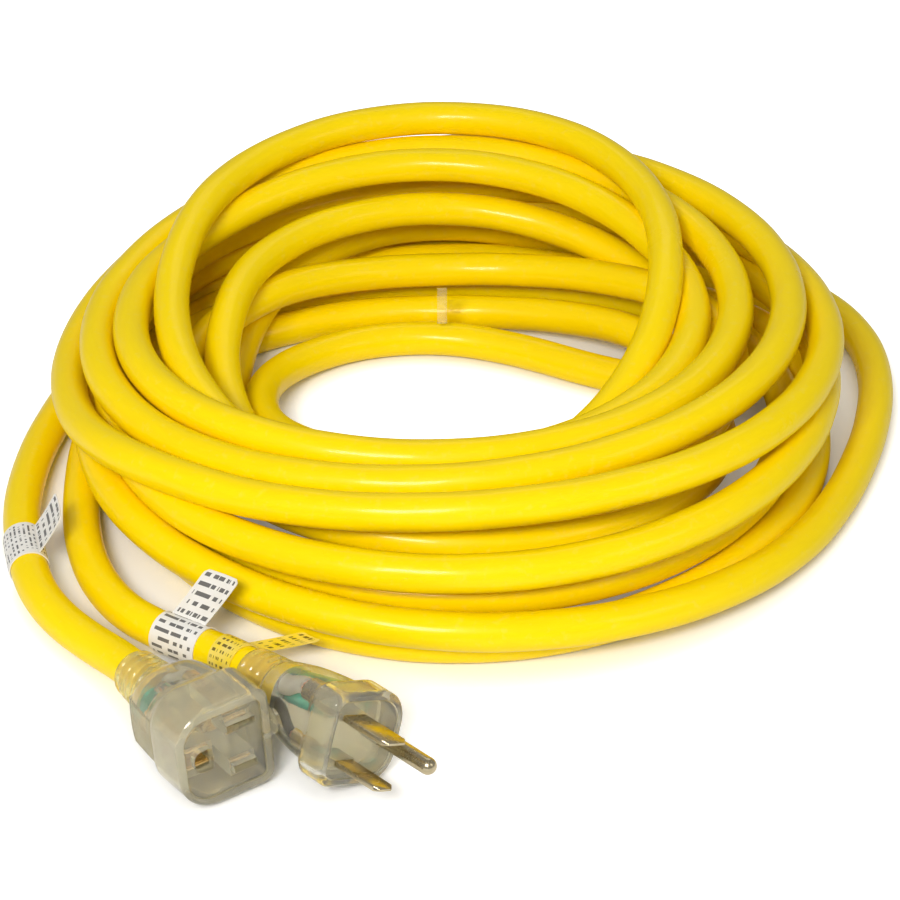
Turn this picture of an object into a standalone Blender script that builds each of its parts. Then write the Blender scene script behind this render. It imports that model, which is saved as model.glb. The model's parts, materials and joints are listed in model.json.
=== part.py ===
"""Grounded extension cord, stored in a hand-wound coil: clear connector, clear three-pin plug, tags and tie.

Metres, +Z up. The cord rests on the plane Z = 0. The connector's mating face looks towards -Y.
Each end is modelled in its own frame: origin at the centre of its mating face, local -Y the mating
direction, local +Y back along the cord.
"""

import math

import bmesh
import bpy
from mathutils import Matrix, Vector

MM = 0.001
GAP = 0.3 * MM  # left between pieces that touch on the real object

# Cord
CORD_DIAMETER = 11.2 * MM
CONDUCTOR_DIAMETER = 3.6 * MM
CONDUCTOR_PITCH = 4.6 * MM  # between conductor centres inside the jacket

# Coil, as one turned ring of its outer shape
COIL_OUTER_RADIUS = 125 * MM
COIL_INNER_RADIUS = 48 * MM
COIL_HEIGHT = 52 * MM
COIL_EDGE_RADIUS = 14 * MM

# Blades and pin of a grounded 15 A, 125 V plug
BLADE_SPACING = 12.7 * MM
BLADE_THICKNESS = 1.5 * MM
LINE_WIDTH = 6.35 * MM
NEUTRAL_WIDTH = 7.9 * MM
BLADE_LENGTH = 17.5 * MM
PIN_DIAMETER = 4.8 * MM
PIN_LENGTH = 20.6 * MM
PIN_OFFSET = 11.9 * MM  # from the blades' line to the pin
CRIMP_DIAMETER = 4.4 * MM
CRIMP_LENGTH = 7 * MM

# Connector body
CONNECTOR_WIDTH = 28 * MM
CONNECTOR_HEIGHT = 29 * MM
CONNECTOR_LENGTH = 38 * MM
CONNECTOR_WALL = 1.8 * MM
CONNECTOR_BLADE_X = 4.5 * MM  # the slots' line, to the right of the body's middle
INSERT_DEPTH = 19.7 * MM
INSERT_FACE = 2.5 * MM  # thickness of the insert in front of the contact pockets
SLOT_CLEARANCE = 0.6 * MM  # a slot is this much larger than its blade
SOCKET_WIDTH = 5.4 * MM
SOCKET_HEIGHT = 6.4 * MM

# Spring contacts
LEAF_THICKNESS = 0.5 * MM
LEAF_LENGTH = 11.5 * MM
LEAF_WIDTH = 6.0 * MM
BLADE_GRIP = 1.0 * MM  # gap between two blade leaves at their tips
PIN_GRIP = 4.3 * MM  # gap between the two pin leaves at their tips
LEAF_SLOPE = math.radians(2.6)
POCKET_SIDE = 1.7 * MM  # room behind each leaf

# Plug body
PLUG_WIDTH = 25.5 * MM
PLUG_HEIGHT = 26.5 * MM
PLUG_LENGTH = 36 * MM
PLUG_WALL = 2.2 * MM
PLUG_BLADE_X = -4.4 * MM  # the blades' line, to the left of the body's middle
BRIDGE_DEPTH = 9.7 * MM
TANG_LENGTH = 12 * MM  # of a blade or the pin inside the body

# Strain reliefs
NECK_LENGTH = 12 * MM
NECK_FRONT_RADIUS = 8.0 * MM
NECK_REAR_RADIUS = 7.0 * MM
NECK_GROOVES = 3
JACKET_INSIDE = 5 * MM  # jacket ahead of the strain relief, inside the body

# Indicator lamp in the connector
LAMP_RADIUS = 1.6 * MM
LAMP_LENGTH = 6.5 * MM
RESISTOR_RADIUS = 1.0 * MM
RESISTOR_LENGTH = 4.0 * MM
LAMP_LEAD_RADIUS = 0.3 * MM

# Where the ends lie, relative to the coil's centre
CONNECTOR_FACE = Vector((-147.5, -112.2, 0.0)) * MM
PLUG_FACE = Vector((-116.0, -127.5, 0.0)) * MM
PLUG_TURN = math.radians(5)
PLUG_ROLL = math.radians(23)
END_PITCH = math.radians(7)  # each end is thicker than the cord, so it lies tilted

# Routes of the free stretches, in millimetres from the coil's centre. A lead starts at its strain relief.
CONNECTOR_LEAD = [
    (-148.2, -50.0, 8.6),
    (-149.8, -38.0, 7.4),
    (-151.0, -24.0, 6.7),
    (-149.6, -8.0, 6.5),
    (-143.8, 11.0, 6.5),
    (-134.6, 31.0, 6.2),
    (-123.8, 50.0, 5.8),
]
PLUG_LEAD = [
    (-121.8, -70.0, 8.5),
    (-124.8, -60.0, 7.5),
    (-129.4, -48.0, 6.7),
    (-133.2, -35.0, 6.5),
    (-134.8, -20.0, 6.1),
    (-134.4, -6.0, 5.8),
]
STRAY_LOOP = [
    (126.0, 44.6, 5.6),
    (138.0, 22.5, 5.6),
    (146.4, -2.0, 5.6),
    (147.6, -25.0, 5.6),
    (140.0, -45.0, 5.6),
    (125.8, -62.0, 5.6),
    (107.6, -79.4, 5.6),
]

# Tags, label and tie
TAG_THICKNESS = 0.4 * MM
WRAP_LENGTH = 16 * MM
LABEL_LENGTH = 9 * MM
CONNECTOR_TAG_AT = 72 * MM  # along the lead from the strain relief
PLUG_TAG_AT = 26 * MM
PLUG_LABEL_AT = 7.5 * MM
TIE_SIZE = Vector((1.0, 3.2, 13.0)) * MM
TIE_ANGLE = math.radians(57)

COLOURS = {  # base colour, roughness, metallic
    "jacket": ((0.98, 0.80, 0.02), 0.35, 0.0),
    "clear": ((0.85, 0.82, 0.68), 0.15, 0.0),
    "neck": ((0.95, 0.85, 0.25), 0.20, 0.0),
    "brass": ((0.70, 0.52, 0.24), 0.30, 1.0),
    "nickel": ((0.62, 0.56, 0.42), 0.25, 1.0),
    "copper": ((0.80, 0.42, 0.25), 0.35, 1.0),
    "green": ((0.03, 0.55, 0.38), 0.40, 0.0),
    "white": ((0.90, 0.89, 0.85), 0.40, 0.0),
    "black": ((0.03, 0.03, 0.03), 0.40, 0.0),
    "tag": ((0.88, 0.85, 0.80), 0.55, 0.0),
    "label": ((0.98, 0.78, 0.03), 0.45, 0.0),
    "lamp": ((0.95, 0.80, 0.60), 0.10, 0.0),
}


class Model:
    """The scene's collections, materials and named objects."""

    def __init__(self):
        self.parts = bpy.data.collections.new("extension_cord")
        self.tools = bpy.data.collections.new("cutters")
        bpy.context.scene.collection.children.link(self.parts)
        bpy.context.scene.collection.children.link(self.tools)
        self.materials = {name: self.material(name, *look) for name, look in COLOURS.items()}

    def material(self, name, colour, roughness, metallic):
        material = bpy.data.materials.new(name)
        material.use_nodes = True
        shader = material.node_tree.nodes["Principled BSDF"]
        shader.inputs["Base Color"].default_value = (*colour, 1.0)
        shader.inputs["Roughness"].default_value = roughness
        shader.inputs["Metallic"].default_value = metallic
        return material

    def add(self, name, data, parent, look):
        """A piece of the object, which becomes the node of its name."""
        piece = bpy.data.objects.new(name, data)
        self.parts.objects.link(piece)
        piece.parent = parent
        data.materials.append(self.materials[look])
        return piece

    def tool(self, name, data, parent):
        """A helper that cuts a piece or is joined to it."""
        helper = bpy.data.objects.new(name, data)
        self.tools.objects.link(helper)
        helper.parent = parent
        helper.hide_render = True
        helper.display_type = "WIRE"
        return helper

    def empty(self, name, parent=None):
        frame = bpy.data.objects.new(name, None)
        self.parts.objects.link(frame)
        frame.parent = parent
        return frame

    def combine(self, piece, data, operation="DIFFERENCE"):
        helper = self.tool(f"{piece.name}_{len(piece.modifiers)}", data, piece.parent)
        step = piece.modifiers.new(f"combine_{len(piece.modifiers)}", "BOOLEAN")
        step.operation = operation
        step.object = helper


# Meshes


def mesh_of(name, build):
    """A mesh made by build(bm), with its normals pointing out."""
    bm = bmesh.new()
    build(bm)
    bmesh.ops.recalc_face_normals(bm, faces=bm.faces)
    mesh = bpy.data.meshes.new(name)
    bm.to_mesh(mesh)
    bm.free()
    return mesh


def box_mesh(centre, size, name="box"):
    def build(bm):
        bmesh.ops.create_cube(bm, size=1.0)
        bmesh.ops.scale(bm, vec=Vector(size), verts=bm.verts)
        bmesh.ops.translate(bm, vec=Vector(centre), verts=bm.verts)

    return mesh_of(name, build)


def rod_mesh(x, z, front, rear, front_radius, rear_radius=None, sides=20, name="rod"):
    """A round rod or cone along Y, from front to rear."""
    rear_radius = front_radius if rear_radius is None else rear_radius

    def build(bm):
        bmesh.ops.create_cone(
            bm,
            cap_ends=True,
            segments=sides,
            radius1=front_radius,
            radius2=rear_radius,
            depth=rear - front,
            matrix=Matrix.Translation((x, (front + rear) / 2, z)) @ Matrix.Rotation(-math.pi / 2, 4, "X"),
        )

    return mesh_of(name, build)


def outline(width, height, left_radius, right_radius, shift=0.0, arc_steps=5):
    """A rectangle in X and Z with round corners, the left pair and the right pair of their own radius."""
    corners = (
        (width / 2 - right_radius, height / 2 - right_radius, right_radius, 0),
        (-width / 2 + left_radius, height / 2 - left_radius, left_radius, 90),
        (-width / 2 + left_radius, -height / 2 + left_radius, left_radius, 180),
        (width / 2 - right_radius, -height / 2 + right_radius, right_radius, 270),
    )
    points = []
    for x, z, radius, start in corners:
        for step in range(arc_steps + 1):
            angle = math.radians(start + 90 * step / arc_steps)
            points.append((shift + x + radius * math.cos(angle), z + radius * math.sin(angle)))
    return points


def loft_mesh(sections, name="loft"):
    """A closed body through outlines of the same number of points. sections holds (y, outline)."""

    def build(bm):
        rings = [[bm.verts.new((x, y, z)) for x, z in points] for y, points in sections]
        for ring, following in zip(rings, rings[1:]):
            for i in range(len(ring)):
                j = (i + 1) % len(ring)
                bm.faces.new((ring[i], ring[j], following[j], following[i]))
        bm.faces.new(rings[0])
        bm.faces.new(rings[-1])

    return mesh_of(name, build)


def turned_mesh(profile, sides=24, name="turned", centre=(0.0, 0.0)):
    """A body turned about a line along Y. profile holds (radius, y) and starts and ends on the axis."""

    def build(bm):
        cx, cz = centre
        inner = profile[1:-1]
        rings = []
        for radius, y in inner:
            ring = []
            for step in range(sides):
                angle = 2 * math.pi * step / sides
                ring.append(bm.verts.new((cx + radius * math.cos(angle), y, cz + radius * math.sin(angle))))
            rings.append(ring)
        for ring, following in zip(rings, rings[1:]):
            for i in range(sides):
                j = (i + 1) % sides
                bm.faces.new((ring[i], ring[j], following[j], following[i]))
        for end, ring in ((profile[0], rings[0]), (profile[-1], rings[-1])):
            tip = bm.verts.new((cx, end[1], cz))
            for i in range(sides):
                bm.faces.new((tip, ring[i], ring[(i + 1) % sides]))

    return mesh_of(name, build)


def smooth_path(points, steps=3):
    """Points along a smooth curve through the given ones, steps of them to each gap."""
    line = [Vector(point) * MM for point in points]
    line = [2 * line[0] - line[1], *line, 2 * line[-1] - line[-2]]
    path = []
    for before, start, end, after in zip(line, line[1:], line[2:], line[3:]):
        for step in range(steps):
            t = step / steps
            path.append(
                0.5
                * (
                    2 * start
                    + (end - before) * t
                    + (2 * before - 5 * start + 4 * end - after) * t**2
                    + (3 * start - before - 3 * end + after) * t**3
                )
            )
    path.append(line[-2])
    return path


def tube_curve(name, path, radius, resolution=3):
    """A round tube along a path."""
    curve = bpy.data.curves.new(name, "CURVE")
    curve.dimensions = "3D"
    curve.bevel_depth = radius
    curve.bevel_resolution = resolution
    curve.use_fill_caps = True
    spline = curve.splines.new("POLY")
    spline.points.add(len(path) - 1)
    for point, place in zip(spline.points, path):
        point.co = (*place, 1.0)
    return curve


# The cord


def cord_coil(model, layout):
    """The coil as one turned ring with round edges."""
    profile = []
    middle = (COIL_OUTER_RADIUS + COIL_INNER_RADIUS) / 2
    width = COIL_OUTER_RADIUS - COIL_INNER_RADIUS
    for x, z in outline(width, COIL_HEIGHT, COIL_EDGE_RADIUS, COIL_EDGE_RADIUS, middle, 4):
        profile.append((x, z + COIL_HEIGHT / 2))

    def build(bm):
        verts = [bm.verts.new((x, 0.0, z)) for x, z in profile]
        for i, vert in enumerate(verts):
            bm.edges.new((vert, verts[(i + 1) % len(verts)]))

    mesh = bpy.data.meshes.new("coil")
    bm = bmesh.new()
    build(bm)
    bm.to_mesh(mesh)
    bm.free()
    coil = model.add("cord_coil", mesh, layout, "jacket")
    screw = coil.modifiers.new("turn", "SCREW")
    screw.steps = 56
    screw.render_steps = 56
    screw.use_merge_vertices = True
    screw.merge_threshold = 1e-5
    screw.use_normal_calculate = True
    screw.use_normal_flip = False


def cord_stretch(model, layout, name, route):
    model.add(name, tube_curve(name, route, CORD_DIAMETER / 2), layout, "jacket")


def lead_route(points, frame, body_length):
    """A lead's smooth route, which leaves its strain relief straight."""
    rear = body_length + NECK_LENGTH + 2 * GAP
    bpy.context.view_layer.update()
    start = [frame.matrix_world @ Vector((0, rear + ahead, 0)) for ahead in (0.0, 4 * MM)]
    return smooth_path([*(place / MM for place in start), *points])


# Parts that both ends share


def strain_relief(model, frame, name, start):
    """The tapered, grooved neck behind a body, with a bore for the jacket."""
    front, rear = start, start + NECK_LENGTH
    profile = [(0.0, front), (NECK_FRONT_RADIUS, front)]
    groove = NECK_LENGTH / (2 * NECK_GROOVES + 1)
    for index in range(1, 2 * NECK_GROOVES + 1):
        y = front + index * groove
        radius = NECK_FRONT_RADIUS + (NECK_REAR_RADIUS - NECK_FRONT_RADIUS) * index * groove / NECK_LENGTH
        dip = 0.7 * MM
        if index % 2:
            profile += [(radius, y), (radius - dip, y + 0.2 * MM)]
        else:
            profile += [(radius - dip, y - 0.2 * MM), (radius, y)]
    profile += [(NECK_REAR_RADIUS, rear), (0.0, rear)]
    neck = model.add(name, turned_mesh(profile, 28), frame, "neck")
    model.combine(neck, rod_mesh(0, 0, front - MM, rear + MM, CORD_DIAMETER / 2 + GAP, sides=24))


def jacket_end(model, frame, name, body_length):
    """The cord's jacket inside the strain relief, up to where it is stripped."""
    front = body_length - JACKET_INSIDE
    rear = body_length + GAP + NECK_LENGTH
    model.add(name, rod_mesh(0, 0, front, rear, CORD_DIAMETER / 2, sides=24), frame, "jacket")


def conductor_seat(index):
    """Where a conductor's centre lies in the jacket's end: line, neutral, ground."""
    angle = math.radians((-60, 60, 180)[index])
    reach = CONDUCTOR_PITCH / math.sqrt(3)
    return reach * math.cos(angle), reach * math.sin(angle)


def conductor(model, frame, name, look, index, crimp_place, crimp_rear, jacket_front, mirrored=False):
    """An insulated conductor from a crimp back to the jacket's end."""
    x, z = conductor_seat(index)
    x = -x if mirrored else x
    start = Vector((crimp_place[0], crimp_rear + GAP, crimp_place[1]))
    end = Vector((x, jacket_front - GAP, z))
    straight = Vector((0, 0.6 * MM, 0))
    path = [start]
    for step in range(7):
        t = step / 6
        ease = t * t * (3 - 2 * t)
        place = (start + straight).lerp(end - straight, t)
        place.x = start.x + (end.x - start.x) * ease
        place.z = start.z + (end.z - start.z) * ease
        path.append(place)
    path.append(end)
    model.add(name, tube_curve(name, path, CONDUCTOR_DIAMETER / 2 - 0.1 * MM, 2), frame, look)


# The connector


def connector_sections():
    """The outside of the connector's body, from its mating face back to the strain relief."""
    w, h, n = CONNECTOR_WIDTH, CONNECTOR_HEIGHT, 2 * NECK_FRONT_RADIUS
    edge = 1.2 * MM
    return [
        (0.0, outline(w - 2 * edge, h - 2 * edge, 9 * MM, 3 * MM, -0.5 * MM)),
        (edge, outline(w, h, 10 * MM, 4 * MM, -0.5 * MM)),
        (15 * MM, outline(w, h, 10 * MM, 4 * MM, -0.5 * MM)),
        (18 * MM, outline(w - 3 * MM, h - 3 * MM, 9 * MM, 5 * MM, -0.5 * MM)),
        (28 * MM, outline(w - 4.5 * MM, h - 5.5 * MM, 9 * MM, 7 * MM, -0.4 * MM)),
        (34 * MM, outline(n + 3 * MM, n + 3 * MM, 8 * MM, 8 * MM, 0.0)),
        (CONNECTOR_LENGTH, outline(n, n, n / 2 - 0.05 * MM, n / 2 - 0.05 * MM, 0.0)),
    ]


def connector_cavity():
    """Centre and size of the front cavity, which holds the insert."""
    left = -CONNECTOR_WIDTH / 2 - 0.5 * MM + CONNECTOR_WALL
    right = CONNECTOR_WIDTH / 2 - 0.5 * MM - 1.5 * CONNECTOR_WALL
    height = CONNECTOR_HEIGHT - 3 * CONNECTOR_WALL
    return (left + right) / 2, right - left, height


def connector_shell(model, frame):
    shell = model.add("connector_shell", loft_mesh(connector_sections()), frame, "clear")
    middle, width, height = connector_cavity()
    depth = INSERT_DEPTH + GAP
    front = outline(width, height, 6.5 * MM, 2 * MM, middle)
    model.combine(shell, loft_mesh([(-2 * MM, front), (depth, front)]))
    rear_width, rear_height = width - 4 * MM, height - 5 * MM
    rear_cut = outline(rear_width, rear_height, 4 * MM, 4 * MM, 0.0)
    throat = CORD_DIAMETER + 2 * GAP
    end = outline(throat, throat, throat / 2 - 0.05 * MM, throat / 2 - 0.05 * MM, 0.0)
    stripped = CONNECTOR_LENGTH - JACKET_INSIDE
    rear = [(depth - MM, rear_cut), (28.5 * MM, rear_cut), (stripped, end), (CONNECTOR_LENGTH + MM, end)]
    model.combine(shell, loft_mesh(rear))
    # A rounded finger rest stands out of the right flank.
    rest = outline(9 * MM, 13 * MM, 4 * MM, 4.4 * MM, CONNECTOR_WIDTH / 2 - 1.4 * MM)
    inner = outline(5 * MM, 9 * MM, 2 * MM, 2 * MM, CONNECTOR_WIDTH / 2 - 2.4 * MM)
    model.combine(shell, loft_mesh([(4 * MM, rest), (9 * MM, rest), (13 * MM, inner)]), "UNION")
    # The cavity is cut again where the finger rest reaches into it.
    model.combine(shell, loft_mesh([(-3 * MM, front), (depth, front)]))


def connector_insert(model, frame):
    """The inner block with the two slots, the ground socket and the contact pockets behind them."""
    middle, width, height = connector_cavity()
    face = outline(width - 2 * GAP, height - 2 * GAP, 6.2 * MM, 1.8 * MM, middle)
    insert = model.add("connector_insert", loft_mesh([(0.0, face), (INSERT_DEPTH, face)]), frame, "clear")
    for x, z, slot_width, slot_height, grip in contact_places():
        centre = (x, INSERT_FACE / 2, z)
        model.combine(insert, box_mesh(centre, (slot_width, INSERT_FACE + 4 * MM, slot_height)))
        pocket = (LEAF_WIDTH + 1.6 * MM, INSERT_DEPTH, grip + 2 * (LEAF_THICKNESS + POCKET_SIDE))
        model.combine(insert, box_mesh((x, INSERT_FACE + INSERT_DEPTH / 2, z), pocket))


def contact_places():
    """Each contact's x, z, slot width, slot height and leaf grip: line, neutral, ground."""
    slot = BLADE_THICKNESS + SLOT_CLEARANCE
    half = BLADE_SPACING / 2
    x = CONNECTOR_BLADE_X
    return (
        (x, -half, LINE_WIDTH + SLOT_CLEARANCE, slot, BLADE_GRIP),
        (x, half, NEUTRAL_WIDTH + SLOT_CLEARANCE, slot, BLADE_GRIP),
        (x - PIN_OFFSET, 0.0, SOCKET_WIDTH, SOCKET_HEIGHT, PIN_GRIP),
    )


def spring_contact(model, frame, name, x, z, grip):
    """Two leaves that grip a blade or pin, and the base with its crimp that carries them."""
    hinge_y = INSERT_FACE + 1.5 * MM + LEAF_LENGTH
    hinge_z = grip / 2 + LEAF_LENGTH * math.tan(LEAF_SLOPE)
    for side, word in ((1, "upper"), (-1, "lower")):
        pivot = model.empty(f"{name}_{word}_pivot", frame)
        pivot.location = (x, hinge_y, z + side * hinge_z)
        pivot.rotation_euler = (side * LEAF_SLOPE, 0, 0)
        leaf_centre = (0, -LEAF_LENGTH / 2, side * LEAF_THICKNESS / 2)
        leaf = model.add(
            f"{name}_{word}_leaf",
            box_mesh(leaf_centre, (LEAF_WIDTH, LEAF_LENGTH, LEAF_THICKNESS)),
            pivot,
            "brass",
        )
        # The tip flares outwards, to lead the blade in.
        flare_centre = (0, -LEAF_LENGTH, side * (LEAF_THICKNESS / 2 + 0.2 * MM))
        model.combine(leaf, box_mesh(flare_centre, (LEAF_WIDTH, 1.2 * MM, LEAF_THICKNESS)), "UNION")
    front = hinge_y + GAP
    height = 2 * (hinge_z + LEAF_THICKNESS)
    rear = INSERT_DEPTH - GAP
    base = model.add(
        f"{name}_contact",
        box_mesh((x, (front + rear) / 2, z), (LEAF_WIDTH, rear - front, height)),
        frame,
        "brass",
    )
    model.combine(base, rod_mesh(x, z, rear - MM, rear + CRIMP_LENGTH, CRIMP_DIAMETER / 2, sides=16), "UNION")
    return rear + CRIMP_LENGTH


def connector(model, frame):
    connector_shell(model, frame)
    connector_insert(model, frame)
    jacket_front = CONNECTOR_LENGTH - JACKET_INSIDE
    names = ("line", "neutral", "ground")
    looks = ("black", "white", "green")
    for index, (x, z, _, _, grip) in enumerate(contact_places()):
        name = f"connector_{names[index]}"
        crimp_rear = spring_contact(model, frame, name, x, z, grip)
        conductor(model, frame, f"{name}_conductor", looks[index], index, (x, z), crimp_rear, jacket_front)
    strain_relief(model, frame, "connector_strain_relief", CONNECTOR_LENGTH + GAP)
    jacket_end(model, frame, "connector_jacket_end", CONNECTOR_LENGTH)
    indicator(model, frame)


def indicator(model, frame):
    """The lamp that glows when the cord is live, with its resistor and leads."""
    front = INSERT_DEPTH + 2 * GAP + 0.4 * MM
    x, z = -3.4 * MM, 6.4 * MM
    lamp = [
        (0.0, front),
        (LAMP_RADIUS * 0.6, front + 0.2 * MM),
        (LAMP_RADIUS, front + 0.9 * MM),
        (LAMP_RADIUS, front + LAMP_LENGTH),
        (0.0, front + LAMP_LENGTH),
    ]
    model.add("indicator_lamp", turned_mesh(lamp, 14, centre=(x, z)), frame, "lamp")
    resistor_z = -5.6 * MM
    model.add(
        "indicator_resistor",
        rod_mesh(x, resistor_z, front + MM, front + MM + RESISTOR_LENGTH, RESISTOR_RADIUS, sides=12),
        frame,
        "copper",
    )
    rear = front + LAMP_LENGTH + GAP
    resistor_rear = front + MM + RESISTOR_LENGTH + GAP
    between = x + 2.4 * MM
    lead = [
        Vector((x, rear, z)),
        Vector((x + 0.6 * MM, rear + 0.5 * MM, z - 0.6 * MM)),
        Vector((between, rear, z - 3.0 * MM)),
        Vector((between, rear - 0.6 * MM, 0.0)),
        Vector((between, resistor_rear + 0.8 * MM, resistor_z + 2.6 * MM)),
        Vector((x + 0.8 * MM, resistor_rear + 0.6 * MM, resistor_z + 0.5 * MM)),
        Vector((x, resistor_rear, resistor_z)),
    ]
    model.add("indicator_lead", tube_curve("indicator_lead", lead, LAMP_LEAD_RADIUS, 1), frame, "copper")


# The plug


def plug_sections():
    """The outside of the plug's body, from its face back to the strain relief."""
    w, h, n = PLUG_WIDTH, PLUG_HEIGHT, 2 * NECK_FRONT_RADIUS
    edge = 1.0 * MM
    return [
        (0.0, outline(w - 2 * edge, h - 2 * edge, 4 * MM, 8 * MM, 0.4 * MM)),
        (edge, outline(w, h, 5 * MM, 9 * MM, 0.4 * MM)),
        (9 * MM, outline(w, h, 5 * MM, 9 * MM, 0.4 * MM)),
        (12 * MM, outline(w - 3 * MM, h - 3.5 * MM, 5 * MM, 8 * MM, 0.4 * MM)),
        (26 * MM, outline(w - 4.5 * MM, h - 6 * MM, 6 * MM, 8 * MM, 0.2 * MM)),
        (32 * MM, outline(n + 2 * MM, n + 2 * MM, 8 * MM, 8 * MM, 0.0)),
        (PLUG_LENGTH, outline(n, n, n / 2 - 0.05 * MM, n / 2 - 0.05 * MM, 0.0)),
    ]


def plug_cavity():
    """Middle, width and height of the plug's front cavity, which holds the bridge."""
    return 0.4 * MM, PLUG_WIDTH - 2 * PLUG_WALL, PLUG_HEIGHT - 2 * PLUG_WALL


def plug_shell(model, frame):
    shell = model.add("plug_shell", loft_mesh(plug_sections()), frame, "clear")
    middle, width, height = plug_cavity()
    depth = BRIDGE_DEPTH + GAP
    front = outline(width, height, 3 * MM, 7 * MM, middle)
    model.combine(shell, loft_mesh([(-2 * MM, front), (depth, front)]))
    rear_cut = outline(width - 1.6 * MM, height - 3.2 * MM, 3 * MM, 6 * MM, middle)
    throat = CORD_DIAMETER + 2 * GAP
    end = outline(throat, throat, throat / 2 - 0.05 * MM, throat / 2 - 0.05 * MM, 0.0)
    stripped = PLUG_LENGTH - JACKET_INSIDE
    rear = [(depth - MM, rear_cut), (20 * MM, rear_cut), (stripped, end), (PLUG_LENGTH + MM, end)]
    model.combine(shell, loft_mesh(rear))


def plug_places():
    """Each blade's or the pin's x, z and width: line, neutral, ground."""
    half = BLADE_SPACING / 2
    x = PLUG_BLADE_X
    return ((x, -half, LINE_WIDTH), (x, half, NEUTRAL_WIDTH), (x + PIN_OFFSET, 0.0, PIN_DIAMETER))


def plug_bridge(model, frame):
    """The inner block that holds the blades and the pin in place."""
    middle, width, height = plug_cavity()
    face = outline(width - 2 * GAP, height - 2 * GAP, 2.8 * MM, 6.8 * MM, middle)
    bridge = model.add("plug_bridge", loft_mesh([(0.0, face), (BRIDGE_DEPTH, face)]), frame, "clear")
    for x, z, width in plug_places()[:2]:
        size = (width + 2 * GAP, BRIDGE_DEPTH + 6 * MM, BLADE_THICKNESS + 2 * GAP)
        model.combine(bridge, box_mesh((x, BRIDGE_DEPTH / 2, z), size))
    x, z, diameter = plug_places()[2]
    model.combine(bridge, rod_mesh(x, z, -3 * MM, BRIDGE_DEPTH + 3 * MM, diameter / 2 + GAP, sides=20))


def blade(model, frame, name, x, z, width):
    """A flat blade with a bevelled tip and a crimp barrel at its inner end."""
    half = width / 2
    thin = BLADE_THICKNESS / 2
    tip = -BLADE_LENGTH
    sections = (
        (tip, half - 1.2 * MM, 0.35 * thin),
        (tip + 1.2 * MM, half, thin),
        (TANG_LENGTH, half, thin),
    )
    mesh = loft_mesh(
        [(y, [(x + w, z + t), (x - w, z + t), (x - w, z - t), (x + w, z - t)]) for y, w, t in sections]
    )
    piece = model.add(name, mesh, frame, "nickel")
    barrel = rod_mesh(x, z, TANG_LENGTH - MM, TANG_LENGTH + CRIMP_LENGTH, CRIMP_DIAMETER / 2, sides=16)
    model.combine(piece, barrel, "UNION")


def ground_pin(model, frame, name, x, z, diameter):
    """The round pin with a domed tip, a groove behind the tip and its crimp barrel."""
    radius = diameter / 2
    profile = [(0.0, -PIN_LENGTH)]
    for step in range(1, 5):
        angle = math.radians(90 * step / 4)
        profile.append((radius * math.sin(angle), -PIN_LENGTH + radius * (1 - math.cos(angle))))
    profile += [
        (radius, BRIDGE_DEPTH - MM),
        (CRIMP_DIAMETER / 2, BRIDGE_DEPTH - 0.5 * MM),
        (CRIMP_DIAMETER / 2, TANG_LENGTH + CRIMP_LENGTH),
        (0.0, TANG_LENGTH + CRIMP_LENGTH),
    ]
    model.add(name, turned_mesh(profile, 20, centre=(x, z)), frame, "nickel")


def plug(model, frame):
    plug_shell(model, frame)
    plug_bridge(model, frame)
    line, neutral, ground = plug_places()
    blade(model, frame, "plug_line_blade", *line)
    blade(model, frame, "plug_neutral_blade", *neutral)
    ground_pin(model, frame, "plug_ground_pin", *ground)
    jacket_front = PLUG_LENGTH - JACKET_INSIDE
    crimp_rear = TANG_LENGTH + CRIMP_LENGTH
    for index, (name, look) in enumerate((("line", "black"), ("neutral", "white"), ("ground", "green"))):
        x, z, _ = plug_places()[index]
        conductor(model, frame, f"plug_{name}_conductor", look, index, (x, z), crimp_rear, jacket_front, True)
    strain_relief(model, frame, "plug_strain_relief", PLUG_LENGTH + GAP)
    jacket_end(model, frame, "plug_jacket_end", PLUG_LENGTH)


# Tags, label and tie


def frame_on(model, layout, name, path, distance):
    """An empty on a lead at a distance along it: Y along the lead, Z up, X to its side."""
    for place, following in zip(path, path[1:]):
        step = (following - place).length
        if distance <= step:
            break
        distance -= step
    along = (following - place).normalized()
    side = along.cross(Vector((0, 0, 1))).normalized()
    axes = Matrix((side, along, side.cross(along))).transposed().to_4x4()
    frame = model.empty(name, layout)
    frame.matrix_local = Matrix.Translation(place + along * distance) @ axes
    return frame


def wrap(model, frame, name, look, length):
    """A band of label round the cord."""
    inner = CORD_DIAMETER / 2 + GAP
    band = model.add(name, rod_mesh(0, 0, -length / 2, length / 2, inner + TAG_THICKNESS, sides=24), frame, look)
    model.combine(band, rod_mesh(0, 0, -length, length, inner, sides=24))


def flag(model, frame, name, look, length, width, rise, sweep=0.0):
    """A flat flag beside the cord, on the coil's side. It rises outwards and is swept along the cord by angles."""
    near = CORD_DIAMETER / 2 + 2 * GAP + TAG_THICKNESS
    drift = length * math.tan(sweep)
    root = model.empty(f"{name}_root", frame)
    root.rotation_euler = (0, -rise, 0)

    def build(bm):
        inner = [(near, -width / 2), (near, width / 2)]
        outer = [(near + length, drift + width / 2), (near + length, drift - width / 2)]
        corners = inner + outer
        lower = [bm.verts.new((x, y, -TAG_THICKNESS / 2)) for x, y in corners]
        upper = [bm.verts.new((x, y, TAG_THICKNESS / 2)) for x, y in corners]
        bm.faces.new(lower)
        bm.faces.new(upper)
        for i in range(4):
            j = (i + 1) % 4
            bm.faces.new((lower[i], lower[j], upper[j], upper[i]))

    model.add(name, mesh_of(name, build), root, look)


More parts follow.
